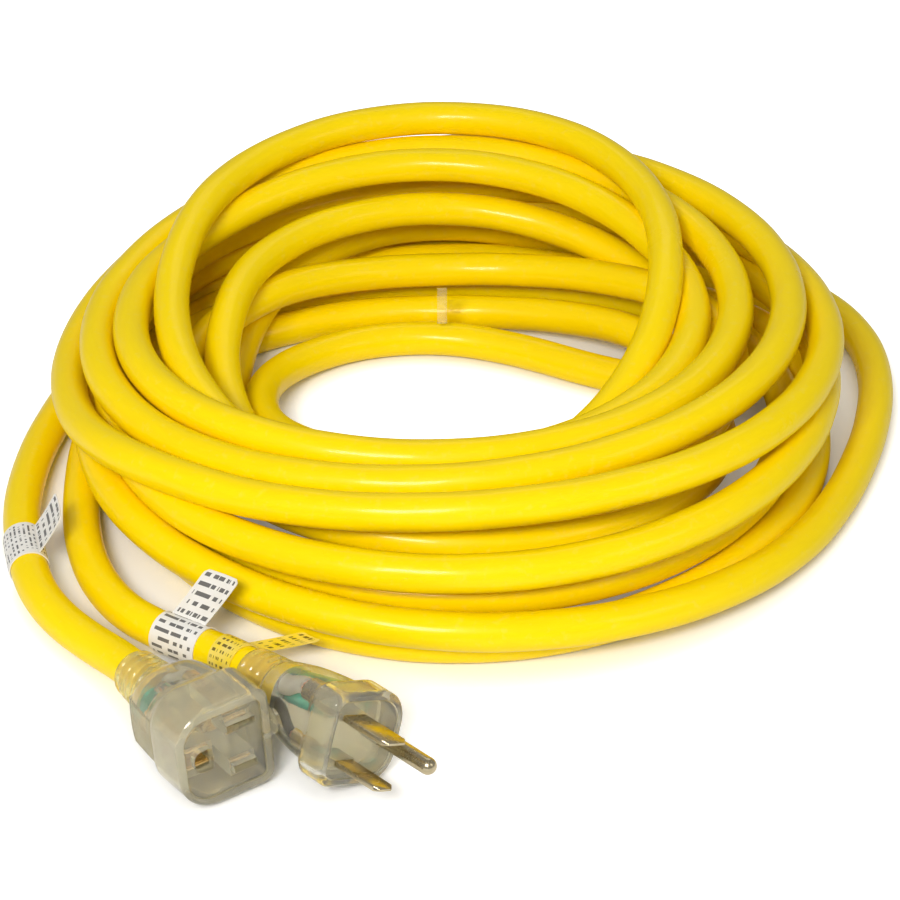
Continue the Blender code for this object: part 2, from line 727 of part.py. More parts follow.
def coil_tie(model, layout):
    """The clear tie on the lowest turn, where it shows inside the coil."""
    reach = COIL_INNER_RADIUS - GAP - TIE_SIZE.x
    frame = model.empty("tie_frame", layout)
    frame.rotation_euler = (0, 0, TIE_ANGLE)
    model.add("coil_tie", box_mesh((reach, 0, COIL_EDGE_RADIUS + TIE_SIZE.z / 2), TIE_SIZE), frame, "clear")


def tags(model, layout, connector_route, plug_route):
    frame = frame_on(model, layout, "connector_tag_frame", connector_route, CONNECTOR_TAG_AT)
    wrap(model, frame, "connector_tag_wrap", "tag", WRAP_LENGTH)
    flag(model, frame, "connector_tag_flag", "tag", 13 * MM, 14 * MM, math.radians(52))
    frame = frame_on(model, layout, "plug_tag_frame", plug_route, PLUG_TAG_AT)
    wrap(model, frame, "plug_tag_wrap", "tag", WRAP_LENGTH)
    flag(model, frame, "plug_tag_flag", "tag", 16 * MM, 12 * MM, math.radians(63), math.radians(-30))
    frame = frame_on(model, layout, "plug_label_frame", plug_route, PLUG_LABEL_AT)
    wrap(model, frame, "plug_label_wrap", "label", LABEL_LENGTH)
    flag(model, frame, "plug_label_flag", "label", 13 * MM, 7.5 * MM, math.radians(2), math.radians(-42))


def points_of(pieces):
    """Every corner of the finished shapes of these pieces, in world space."""
    bpy.context.view_layer.update()
    graph = bpy.context.evaluated_depsgraph_get()
    points = []
    for piece in pieces:
        shape = piece.evaluated_get(graph)
        mesh = shape.to_mesh()
        points += [shape.matrix_world @ corner.co for corner in mesh.vertices]
        shape.to_mesh_clear()
    return points


def stand_on_floor(frame):
    """Lowers an end until its lowest point is at the cord's own base."""
    pieces = [piece for piece in bpy.data.objects if piece.parent == frame and piece.type == "MESH"]
    frame.location.z -= min(point.z for point in points_of(piece for piece in pieces if not piece.hide_render))


def centre_on_origin(model, layout):
    """Moves everything so that the origin is below the middle of the whole object."""
    points = points_of(piece for piece in model.parts.objects if piece.type != "EMPTY")
    for axis in range(2):
        values = [point[axis] for point in points]
        layout.location[axis] = -(min(values) + max(values)) / 2


def main():
    for thing in list(bpy.data.objects):
        bpy.data.objects.remove(thing, do_unlink=True)
    model = Model()
    layout = model.empty("layout")

    connector_frame = model.empty("connector_frame", layout)
    connector_frame.location = CONNECTOR_FACE
    connector_frame.rotation_euler = (-END_PITCH, 0, 0)
    connector(model, connector_frame)

    plug_frame = model.empty("plug_frame", layout)
    turn = Matrix.Rotation(PLUG_TURN, 4, "Z") @ Matrix.Rotation(-END_PITCH, 4, "X")
    plug_frame.matrix_local = Matrix.Translation(PLUG_FACE) @ turn @ Matrix.Rotation(PLUG_ROLL, 4, "Y")
    plug(model, plug_frame)

    stand_on_floor(connector_frame)
    stand_on_floor(plug_frame)
    connector_route = lead_route(CONNECTOR_LEAD, connector_frame, CONNECTOR_LENGTH)
    plug_route = lead_route(PLUG_LEAD, plug_frame, PLUG_LENGTH)
    cord_coil(model, layout)
    cord_stretch(model, layout, "connector_lead", connector_route)
    cord_stretch(model, layout, "plug_lead", plug_route)
    cord_stretch(model, layout, "stray_loop", smooth_path(STRAY_LOOP))
    coil_tie(model, layout)
    tags(model, layout, connector_route, plug_route)
    centre_on_origin(model, layout)


main()
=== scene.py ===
"""Looks of a grounded extension cord: hand-wound yellow cord, clear connector, clear plug, tags.

Metres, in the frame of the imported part. Each sub-assembly is a class that builds its own meshes
round the part's solids, dresses them and hands them to the frame. Lengths named *_mm are
millimetres.
"""

import json
import logging
import math
from collections.abc import Callable, Sequence
from dataclasses import dataclass, field
from enum import Enum

import bmesh
import bpy
import numpy as np
from mathutils import Matrix, Vector


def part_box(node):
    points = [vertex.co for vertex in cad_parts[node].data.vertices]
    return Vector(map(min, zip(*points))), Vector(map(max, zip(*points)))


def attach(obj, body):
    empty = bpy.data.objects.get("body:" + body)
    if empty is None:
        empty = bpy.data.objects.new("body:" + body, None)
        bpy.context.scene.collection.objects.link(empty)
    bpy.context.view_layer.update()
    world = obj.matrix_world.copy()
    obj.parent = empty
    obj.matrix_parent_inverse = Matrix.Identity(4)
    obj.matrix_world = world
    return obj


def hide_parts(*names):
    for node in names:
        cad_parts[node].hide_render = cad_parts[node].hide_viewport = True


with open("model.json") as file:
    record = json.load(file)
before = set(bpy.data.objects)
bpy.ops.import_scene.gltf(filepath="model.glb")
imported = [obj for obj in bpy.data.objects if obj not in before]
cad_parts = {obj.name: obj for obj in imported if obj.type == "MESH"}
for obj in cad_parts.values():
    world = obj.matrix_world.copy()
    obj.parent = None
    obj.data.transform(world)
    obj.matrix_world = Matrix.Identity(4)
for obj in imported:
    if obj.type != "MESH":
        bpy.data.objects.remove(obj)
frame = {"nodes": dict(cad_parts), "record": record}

LOG = logging.getLogger("extension_cord")
MM = 0.001
CORD_BODY = "cord"
Point = tuple[float, float, float]
Colour = tuple[float, float, float]
Node, Socket, Tree = bpy.types.Node, bpy.types.NodeSocket, bpy.types.NodeTree
Material, Mesh, Piece = bpy.types.Material, bpy.types.Mesh, bpy.types.Object

LAY_PITCH = 0.095  # one turn of the conductors inside the jacket
BORE_MM = 5.72  # radius of the hole that the jacket goes through
NECK_GAP_MM = 0.3  # between a body and its strain relief
ROLES = (("line", "black"), ("neutral", "white"), ("ground", "green"))  # each conductor and its colour


# ---------------------------------------------------------------- shader helpers


class Nodes:
    """A node tree with short calls to add nodes and join them."""

    def __init__(self, tree: Tree) -> None:
        """Keeps the tree that nodes are added to."""
        self.tree = tree

    def add(self, kind: str, **settings: object) -> Node:
        """Adds a node, by its type name without "ShaderNode", and sets its properties."""
        node = self.tree.nodes.new("ShaderNode" + kind)
        for name, value in settings.items():
            setattr(node, name, value)
        return node

    def join(self, source: Socket, target: Socket) -> None:
        """Links two sockets."""
        self.tree.links.new(source, target)

    def math(self, operation: str, first: object, second: object = 0.0) -> Socket:
        """Adds a maths node on sockets or numbers and returns its result."""
        node = self.add("Math", operation=operation)
        for index, value in enumerate((first, second)):
            if isinstance(value, Socket):
                self.join(value, node.inputs[index])
            else:
                node.inputs[index].default_value = float(value)
        return node.outputs[0]

    def span(self, value: Socket, low: float, high: float, to_low: float, to_high: float):
        """Adds a clamped map of one range to another and returns its result."""
        node = self.add("MapRange")
        self.join(value, node.inputs["Value"])
        for name, number in (("From Min", low), ("From Max", high), ("To Min", to_low), ("To Max", to_high)):
            node.inputs[name].default_value = number
        return node.outputs["Result"]

    def noise(self, vector: Socket, scale: float, detail: float = 3.0) -> Socket:
        """Adds a noise texture and returns its value."""
        node = self.add("TexNoise")
        node.inputs["Scale"].default_value = scale
        node.inputs["Detail"].default_value = detail
        self.join(vector, node.inputs["Vector"])
        return node.outputs["Fac"]

    def stretched(self, vector: Socket, scale: Point) -> Socket:
        """Scales a texture's place by a different amount each way."""
        node = self.add("Mapping")
        node.inputs["Scale"].default_value = scale
        self.join(vector, node.inputs["Vector"])
        return node.outputs["Vector"]

    def blend(self, share: object, first: object, second: object) -> Socket:
        """Mixes two colours, each a socket or a tuple, by the share of the second that shows."""
        node = self.add("Mix", data_type="RGBA")
        for socket, value in ((node.inputs[0], share), (node.inputs[6], first), (node.inputs[7], second)):
            if isinstance(value, Socket):
                self.join(value, socket)
            elif isinstance(value, tuple):
                socket.default_value = (*value, 1.0)
            else:
                socket.default_value = float(value)
        return node.outputs[2]

    def bump(self, height: Socket, strength: float, distance: float) -> Socket:
        """Adds a bump node and returns its normal."""
        node = self.add("Bump")
        node.inputs["Strength"].default_value = strength
        node.inputs["Distance"].default_value = distance
        self.join(height, node.inputs["Height"])
        return node.outputs["Normal"]


class Surface(Nodes):
    """A new material with one Principled shader."""

    def __init__(self, name: str, **constants: float) -> None:
        """Makes the material, with constants for the shader's sockets (_ for a space in a name)."""
        self.material = bpy.data.materials.new(name)
        self.material.use_nodes = True
        super().__init__(self.material.node_tree)
        self.shader = self.tree.nodes["Principled BSDF"]
        for socket, value in constants.items():
            self.shader.inputs[socket.replace("_", " ")].default_value = value
        self.place = self.add("TexCoord").outputs["Object"]

    def feed(self, **links: Socket) -> Material:
        """Links sockets into the shader's inputs and returns the material."""
        for name, source in links.items():
            self.join(source, self.shader.inputs[name.replace("_", " ")])
        return self.material

    def group(self, tree: Tree, **values: float) -> Node:
        """Places a shared effect with its own values and returns its node."""
        node = self.add("Group", node_tree=tree)
        for name, value in values.items():
            node.inputs[name.replace("_", " ")].default_value = value
        self.join(self.place, node.inputs["Vector"])
        return node


def new_effect(name: str, numbers: dict[str, float], outputs: Sequence[str]) -> tuple[Nodes, object, object]:
    """Makes an empty shader group and returns its nodes, its input node and its output node."""
    tree = bpy.data.node_groups.new(name, "ShaderNodeTree")
    tree.interface.new_socket("Vector", in_out="INPUT", socket_type="NodeSocketVector")
    for label, value in numbers.items():
        tree.interface.new_socket(label, in_out="INPUT", socket_type="NodeSocketFloat").default_value = value
    for label in outputs:
        tree.interface.new_socket(label, in_out="OUTPUT", socket_type="NodeSocketFloat")
    nodes = Nodes(tree)
    return nodes, tree.nodes.new("NodeGroupInput"), tree.nodes.new("NodeGroupOutput")


class Effects:
    """The effects that several finishes share, each built once."""

    def __init__(self) -> None:
        """Builds the groups."""
        self.handling = self._handling()
        self.moulding = self._moulding()

    def _handling(self) -> Tree:
        """Marks of handling: soft patches, fine scuffs and a roughness that follows them."""
        numbers = {"Patch Scale": 40.0, "Scuff Scale": 600.0, "Roughness": 0.3, "Spread": 0.1}
        nodes, given, out = new_effect("handling_marks", numbers, ("Patches", "Scuffs", "Roughness"))
        patch = nodes.add("TexNoise")
        patch.inputs["Detail"].default_value = 4.0
        scuff = nodes.add("TexNoise")
        scuff.inputs["Detail"].default_value = 2.0
        for node, label in ((patch, "Patch Scale"), (scuff, "Scuff Scale")):
            nodes.join(given.outputs["Vector"], node.inputs["Vector"])
            nodes.join(given.outputs[label], node.inputs["Scale"])
        patches = nodes.span(patch.outputs["Fac"], 0.35, 0.68, 0.0, 1.0)
        scuffs = nodes.span(scuff.outputs["Fac"], 0.58, 0.72, 0.0, 1.0)
        both = nodes.math("MULTIPLY_ADD", scuffs, 0.6)
        nodes.join(patches, both.node.inputs[2])
        rough = nodes.math("MULTIPLY", both, given.outputs["Spread"])
        nodes.join(patches, out.inputs["Patches"])
        nodes.join(scuffs, out.inputs["Scuffs"])
        nodes.join(nodes.math("ADD", rough, given.outputs["Roughness"]), out.inputs["Roughness"])
        return nodes.tree

    def _moulding(self) -> Tree:
        """The slow ripple and faint flow lines of moulded plastic, as a height."""
        nodes, given, out = new_effect("moulding_flow", {"Ripple Scale": 120.0, "Flow": 0.5}, ("Height",))
        ripple = nodes.add("TexNoise")
        ripple.inputs["Detail"].default_value = 1.5
        ripple.inputs["Distortion"].default_value = 0.8
        nodes.join(given.outputs["Vector"], ripple.inputs["Vector"])
        nodes.join(given.outputs["Ripple Scale"], ripple.inputs["Scale"])
        flow = nodes.noise(nodes.stretched(given.outputs["Vector"], (900.0, 90.0, 900.0)), 1.0, 2.0)
        lines = nodes.math("MULTIPLY", flow, given.outputs["Flow"])
        nodes.join(nodes.math("ADD", ripple.outputs["Fac"], lines), out.inputs["Height"])
        return nodes.tree


# ---------------------------------------------------------------- finishes


@dataclass(frozen=True)
class JacketFinish:
    """Glossy soft PVC of the cord, with the faint lay of its conductors and scuffed patches."""

    light: Colour = (1.0, 0.735, 0.0)
    deep: Colour = (0.88, 0.58, 0.0)
    dust: Colour = (0.90, 0.84, 0.46)

    def material(self, effects: Effects) -> Material:
        """Builds the material."""
        look = Surface("jacket_pvc", IOR=1.5, Coat_Weight=0.16, Coat_Roughness=0.1, Specular_IOR_Level=0.12)
        marks = look.group(
            effects.handling, Patch_Scale=28.0, Scuff_Scale=420.0, Roughness=0.27, Spread=0.12
        )
        along = look.add("UVMap", uv_map="along")
        parts = look.add("SeparateXYZ")
        look.join(along.outputs["UV"], parts.inputs["Vector"])
        turns = look.math("MULTIPLY", parts.outputs["Y"], 1.0 / LAY_PITCH)
        helix = look.math("MULTIPLY", look.math("SUBTRACT", parts.outputs["X"], turns), 6 * math.pi)
        lay = look.math("COSINE", helix)
        draw = look.noise(look.stretched(along.outputs["UV"], (30.0, 160.0, 1.0)), 1.0, 3.0)
        tone = look.blend(look.span(draw, 0.3, 0.75, 0.0, 0.16), self.light, self.deep)
        dusty = look.math("MULTIPLY", marks.outputs["Scuffs"], 0.05)
        colour = look.blend(dusty, tone, self.dust)
        grain = look.noise(look.place, 2600.0, 2.0)
        height = look.math("ADD", look.math("MULTIPLY", lay, 0.5), look.math("MULTIPLY", grain, 0.25))
        normal = look.bump(look.math("ADD", height, look.math("MULTIPLY", draw, 0.8)), 0.30, 0.00022)
        return look.feed(Base_Color=colour, Roughness=marks.outputs["Roughness"], Normal=normal)


@dataclass(frozen=True)
class ClearFinish:
    """Clear soft plastic with a tint, a few cloudy streaks and a slow ripple."""

    name: str
    tint: Colour
    cloud: Colour
    ior: float = 1.22
    clearness: float = 0.93
    roughness: float = 0.05
    ripple: float = 0.00025

    def material(self, effects: Effects) -> Material:
        """Builds the material."""
        look = Surface(
            self.name,
            IOR=self.ior,
            Transmission_Weight=self.clearness,
            Coat_Weight=0.55,
            Coat_IOR=1.5,
            Coat_Roughness=0.06,
        )
        marks = look.group(
            effects.handling, Patch_Scale=90.0, Scuff_Scale=1500.0, Roughness=self.roughness, Spread=0.05
        )
        flow = look.group(effects.moulding, Ripple_Scale=170.0, Flow=0.15)
        haze = look.math("MULTIPLY", marks.outputs["Patches"], 0.45)
        colour = look.blend(haze, self.tint, self.cloud)
        normal = look.bump(flow.outputs["Height"], 0.35, self.ripple)
        return look.feed(Base_Color=colour, Roughness=marks.outputs["Roughness"], Normal=normal)


@dataclass(frozen=True)
class MetalFinish:
    """Drawn or stamped metal with fine lines, tarnished patches and small scratches."""

    name: str
    bright: Colour
    tarnish: Colour
    roughness: float = 0.2
    line_scale: Point = (1800.0, 120.0, 1800.0)

    def material(self, effects: Effects) -> Material:
        """Builds the material."""
        look = Surface(self.name, Metallic=1.0, Specular_IOR_Level=0.5)
        marks = look.group(
            effects.handling, Patch_Scale=220.0, Scuff_Scale=2400.0, Roughness=self.roughness, Spread=0.14
        )
        lines = look.noise(look.stretched(look.place, self.line_scale), 1.0, 3.0)
        stain = look.math("MULTIPLY", marks.outputs["Patches"], 0.55)
        colour = look.blend(stain, self.bright, self.tarnish)
        normal = look.bump(lines, 0.25, 0.00004)
        return look.feed(Base_Color=colour, Roughness=marks.outputs["Roughness"], Normal=normal)


@dataclass(frozen=True)
class PlasticFinish:
    """Soft coloured insulation or a plain small moulding."""

    name: str
    colour: Colour
    shade: Colour
    roughness: float = 0.38

    def material(self, effects: Effects) -> Material:
        """Builds the material."""
        look = Surface(self.name, IOR=1.5, Coat_Weight=0.15, Coat_Roughness=0.2)
        marks = look.group(
            effects.handling, Patch_Scale=260.0, Scuff_Scale=1800.0, Roughness=self.roughness, Spread=0.12
        )
        flow = look.group(effects.moulding, Ripple_Scale=400.0, Flow=0.6)
        colour = look.blend(marks.outputs["Patches"], self.colour, self.shade)
        normal = look.bump(flow.outputs["Height"], 0.3, 0.0001)
        return look.feed(Base_Color=colour, Roughness=marks.outputs["Roughness"], Normal=normal)


class Print(Enum):
    """What a label is printed with. All of it is generic: rows of short bars."""

    ROWS = "rows"
    FINE = "fine"


@dataclass(frozen=True)
class LabelFinish:
    """Coated label stock with rows of short printed bars, laid out on its own "print" map."""

    name: str
    stock: Colour
    ink: Colour
    rows: float
    words: float
    pattern: Print
    roughness: float = 0.45

    def material(self, effects: Effects) -> Material:
        """Builds the material."""
        look = Surface(self.name, IOR=1.45, Coat_Weight=0.3, Coat_Roughness=0.18)
        marks = look.group(
            effects.handling, Patch_Scale=150.0, Scuff_Scale=1600.0, Roughness=self.roughness, Spread=0.15
        )
        sheet = look.add("UVMap", uv_map="print")
        parts = look.add("SeparateXYZ")
        look.join(sheet.outputs["UV"], parts.inputs["Vector"])
        row = look.math("MULTIPLY", parts.outputs["Y"], self.rows)
        in_row = look.math("FRACT", row)
        above, below = look.math("GREATER_THAN", in_row, 0.3), look.math("LESS_THAN", in_row, 0.72)
        band = look.math("MULTIPLY", above, below)
        joined = look.add("CombineXYZ")
        look.join(look.math("MULTIPLY", parts.outputs["X"], self.words), joined.inputs["X"])
        look.join(look.math("MULTIPLY", look.math("FLOOR", row), 7.3), joined.inputs["Y"])
        cut = 0.47 if self.pattern is Print.ROWS else 0.52
        strokes = look.math("GREATER_THAN", look.noise(joined.outputs["Vector"], 1.0, 1.0), cut)
        edge = look.math("MULTIPLY", look.math("GREATER_THAN", parts.outputs["X"], 0.07), band)
        inside = look.math("MULTIPLY", look.math("LESS_THAN", parts.outputs["X"], 0.93), edge)
        inked = look.math("MULTIPLY", look.math("MULTIPLY", inside, strokes), 0.85)
        age = look.math("MULTIPLY", marks.outputs["Patches"], 0.3)
        aged = look.blend(age, self.stock, (0.74, 0.70, 0.60))
        colour = look.blend(inked, aged, self.ink)
        fibres = look.noise(look.place, 1900.0, 3.0)
        normal = look.bump(fibres, 0.2, 0.00008)
        return look.feed(Base_Color=colour, Roughness=marks.outputs["Roughness"], Normal=normal)


@dataclass
class Palette:
    """Every material of the object, built once."""

    effects: Effects = field(default_factory=Effects)

    def __post_init__(self) -> None:
        """Builds the materials."""
        clear = ((0.97, 0.95, 0.84), (0.92, 0.88, 0.68))
        cloudy = ((0.97, 0.92, 0.72), (0.92, 0.86, 0.60))
        insert = ((0.96, 0.92, 0.74), (0.90, 0.84, 0.60))
        neck = ((1.0, 0.93, 0.46), (1.0, 0.84, 0.18))
        warm = ((1.0, 0.93, 0.84), (0.95, 0.72, 0.5))
        paper, yellow = (0.86, 0.84, 0.80), (0.93, 0.69, 0.02)
        teal = ((0.0, 0.42, 0.30), (0.0, 0.33, 0.25))
        finishes = {
            "jacket": JacketFinish(),
            "clear": ClearFinish("clear_moulding", *clear, clearness=0.90, roughness=0.07),
            "cloudy": ClearFinish("cloudy_moulding", *cloudy, clearness=0.80, roughness=0.14),
            "insert": ClearFinish("clear_insert", *insert, ior=1.16, clearness=0.86, roughness=0.11),
            "neck": ClearFinish("neck_moulding", *neck, ior=1.2, clearness=0.84, roughness=0.2),
            "film": ClearFinish("tie_film", (0.96, 0.95, 0.92), (0.9, 0.88, 0.8), ior=1.2, roughness=0.12),
            "brass": MetalFinish("contact_brass", (0.83, 0.62, 0.30), (0.55, 0.36, 0.14), 0.22),
            "pin": MetalFinish("plug_metal", (0.66, 0.57, 0.38), (0.36, 0.29, 0.15), 0.16),
            "copper": MetalFinish("bare_copper", (0.88, 0.48, 0.30), (0.55, 0.26, 0.14), 0.28),
            "green": PlasticFinish("green_insulation", *teal),
            "white": PlasticFinish("white_insulation", (0.84, 0.82, 0.76), (0.72, 0.69, 0.61)),
            "black": PlasticFinish("black_insulation", (0.02, 0.02, 0.022), (0.05, 0.05, 0.05)),
            "resistor": PlasticFinish("resistor_lacquer", (0.72, 0.55, 0.34), (0.55, 0.38, 0.22), 0.3),
            "lamp": ClearFinish("lamp_glass", *warm, ior=1.45, roughness=0.02),
            "tag": LabelFinish("tag_stock", paper, (0.02, 0.02, 0.02), 5.0, 9.0, Print.ROWS),
            "tag_fine": LabelFinish("tag_fine", paper, (0.03, 0.03, 0.03), 9.0, 16.0, Print.FINE),
            "label": LabelFinish("yellow_label", yellow, (0.05, 0.03, 0.0), 6.0, 12.0, Print.FINE),
        }
        self.looks = {key: finish.material(self.effects) for key, finish in finishes.items()}

    def __getitem__(self, key: str) -> Material:
        """Returns a material by its short name."""
        return self.looks[key]


# ---------------------------------------------------------------- mesh helpers


def mesh_from(name: str, build: Callable[[bmesh.types.BMesh], None]) -> Mesh:
    """Makes a mesh, filled by a function, with its faces pointing outwards."""
    bm = bmesh.new()
    build(bm)
    bmesh.ops.remove_doubles(bm, verts=bm.verts, dist=1e-7)
    bmesh.ops.recalc_face_normals(bm, faces=bm.faces)
    mesh = bpy.data.meshes.new(name)
    bm.to_mesh(mesh)
    bm.free()
    return mesh


def put(name: str, data: bpy.types.ID) -> Piece:
    """Makes an object and puts it in the scene."""
    piece = bpy.data.objects.new(name, data)
    bpy.context.scene.collection.objects.link(piece)
    return piece


def evaluated(piece: Piece) -> Mesh:
    """Returns the mesh that an object's modifiers make."""
    bpy.context.view_layer.update()
    graph = bpy.context.evaluated_depsgraph_get()
    return bpy.data.meshes.new_from_object(piece.evaluated_get(graph))


def face_outwards(mesh: Mesh) -> None:
    """Points a finished mesh's faces outwards."""
    bm = bmesh.new()
    bm.from_mesh(mesh)
    bmesh.ops.recalc_face_normals(bm, faces=bm.faces)
    bm.to_mesh(mesh)
    bm.free()


def gaps(path: np.ndarray) -> np.ndarray:
    """Returns the distance from each point of a path to the next."""
    return np.linalg.norm(np.diff(path, axis=0), axis=1)


def distances(path: np.ndarray) -> np.ndarray:
    """Returns how far along a path each of its points lies."""
    return np.concatenate([[0.0], np.cumsum(gaps(path))])


def at(places: np.ndarray, along: np.ndarray, path: np.ndarray) -> np.ndarray:
    """Returns the points of a path that lie at some distances along it."""
    return np.stack([np.interp(places, along, path[:, axis]) for axis in range(3)], -1)


def smooth_by_angle(mesh: Mesh, degrees: float = 35.0) -> None:
    """Shades a mesh smooth, apart from edges sharper than an angle."""
    mesh.polygons.foreach_set("use_smooth", [True] * len(mesh.polygons))
    mesh.set_sharp_from_angle(angle=math.radians(degrees))


def round_box(centre: Point, size: Point, radius: float, segments: int = 3) -> Mesh:
    """Makes a box with round edges."""

    def build(bm: bmesh.types.BMesh) -> None:
        """Fills the bmesh with the box."""
        bmesh.ops.create_cube(bm, size=1.0)
        bmesh.ops.scale(bm, vec=Vector(size), verts=bm.verts)
        bmesh.ops.translate(bm, vec=Vector(centre), verts=bm.verts)
        if radius > 0:
            edges = list(bm.edges)
            bmesh.ops.bevel(bm, geom=edges, offset=radius, segments=segments, affect="EDGES", profile=0.5)

    return mesh_from("round_box", build)


def outline(
    width: float, height: float, left: float, right: float, shift: float = 0.0, steps: int = 10
) -> list:
    """Points of a rectangle in X and Z with round corners, one radius for each side."""
    corners = (
        (width / 2 - right, height / 2 - right, right, 0),
        (-width / 2 + left, height / 2 - left, left, 90),
        (-width / 2 + left, -height / 2 + left, left, 180),
        (width / 2 - right, -height / 2 + right, right, 270),
    )
    points = []
    for x, z, radius, start in corners:
        for step in range(steps + 1):
            angle = math.radians(start + 90 * step / steps)
            points.append((shift + x + radius * math.cos(angle), z + radius * math.sin(angle)))
    return points


def loft(sections: Sequence[tuple[float, list]], name: str = "loft") -> Mesh:
    """Makes a closed body through outlines, each given with its place along Y."""

    def build(bm: bmesh.types.BMesh) -> None:
        """Fills the bmesh with the rings and the two ends."""
        rings = [[bm.verts.new((x, y, z)) for x, z in points] for y, points in sections]
        for ring, following in zip(rings, rings[1:]):
            for i in range(len(ring)):
                j = (i + 1) % len(ring)
                bm.faces.new((ring[i], ring[j], following[j], following[i]))
        bm.faces.new(rings[0])
        bm.faces.new(rings[-1])

    return mesh_from(name, build)


def body_sections(keys: Sequence[Sequence[float]], step: float) -> list[tuple[float, list]]:
    """Fills in outlines between key sections.

    Args:
        keys: Rows of place, width, height, left radius, right radius and shift, in metres.
        step: The most that two sections stand apart.

    Returns:
        Places along Y with their outlines.
    """
    table = np.array(keys, float)
    places: list[float] = []
    for low, high in zip(table[:-1, 0], table[1:, 0]):
        count = max(1, int(math.ceil((high - low) / step)))
        places += [low + (high - low) * i / count for i in range(count)]
    places.append(float(table[-1, 0]))
    slopes = np.zeros_like(table[:, 1:])
    for i in range(1, len(table) - 1):
        before = (table[i, 1:] - table[i - 1, 1:]) / (table[i, 0] - table[i - 1, 0])
        after = (table[i + 1, 1:] - table[i, 1:]) / (table[i + 1, 0] - table[i, 0])
        same = before * after > 0
        slopes[i] = np.where(same, 2 * before * after / np.where(same, before + after, 1.0), 0.0)
    sections = []
    for place in places:
        i = min(int(np.searchsorted(table[:, 0], place, side="right")) - 1, len(table) - 2)
        gap = table[i + 1, 0] - table[i, 0]
        t = (place - table[i, 0]) / gap
        value = (2 * t**3 - 3 * t**2 + 1) * table[i, 1:] + (t**3 - 2 * t**2 + t) * gap * slopes[i]
        value += (-2 * t**3 + 3 * t**2) * table[i + 1, 1:] + (t**3 - t**2) * gap * slopes[i + 1]
        width, height, left, right, shift = (float(v) for v in value)
        most = min(width, height) / 2 - 0.02 * MM
        sections.append((place, outline(width, height, min(left, most), min(right, most), shift)))
    return sections


def turned(
    profile: Sequence[tuple[float, float]], sides: int = 40, centre: tuple[float, float] = (0.0, 0.0)
) -> Mesh:
    """Makes a body turned about a line along Y, from (radius, y) points that start and end on it."""

    def build(bm: bmesh.types.BMesh) -> None:
        """Fills the bmesh with the rings and the two tips."""
        x, z = centre
        turn = [2 * math.pi * i / sides for i in range(sides)]
        rings = []
        for radius, y in profile[1:-1]:
            places = [(x + radius * math.cos(a), y, z + radius * math.sin(a)) for a in turn]
            rings.append([bm.verts.new(place) for place in places])
        for ring, following in zip(rings, rings[1:]):
            for i in range(sides):
                j = (i + 1) % sides
                bm.faces.new((ring[i], ring[j], following[j], following[i]))
        for end, ring in ((profile[0], rings[0]), (profile[-1], rings[-1])):
            tip = bm.verts.new((x, end[1], z))
            for i in range(sides):
                bm.faces.new((tip, ring[i], ring[(i + 1) % sides]))

    return mesh_from("turned", build)


def rod(x: float, z: float, front: float, rear: float, radius: float, sides: int = 32) -> Mesh:
    """Makes a plain round rod along Y."""
    return turned([(0.0, front), (radius, front), (radius, rear), (0.0, rear)], sides, (x, z))


def jacket_bore(length_mm: float, stripped_mm: float) -> Mesh:
    """Makes the hole for the jacket in the rear of a body."""
    return rod(0, 0, (length_mm - stripped_mm - 0.2) * MM, (length_mm + 1) * MM, BORE_MM * MM, 48)


def resample(path: np.ndarray, step: float) -> np.ndarray:
    """Returns points evenly spaced along a path, about a step apart."""
    along = distances(path)
    count = max(2, int(round(along[-1] / step)))
    places = np.linspace(0.0, along[-1], count + 1)
    return at(places, along, path)


def smooth_line(points: Sequence[Sequence[float]], steps: int = 12) -> np.ndarray:
    """Returns a smooth curve through points, with a number of steps to each gap."""
    line = np.array(points, float)
    line = np.vstack([2 * line[0] - line[1], line, 2 * line[-1] - line[-2]])
    out = []
    for before, start, end, after in zip(line, line[1:], line[2:], line[3:]):
        for i in range(steps):
            t = i / steps
            out.append(
                0.5
                * (
                    2 * start
                    + (end - before) * t
                    + (2 * before - 5 * start + 4 * end - after) * t**2
                    + (3 * start - before - 3 * end + after) * t**3
                )
            )
    out.append(line[-2])
    return np.array(out)


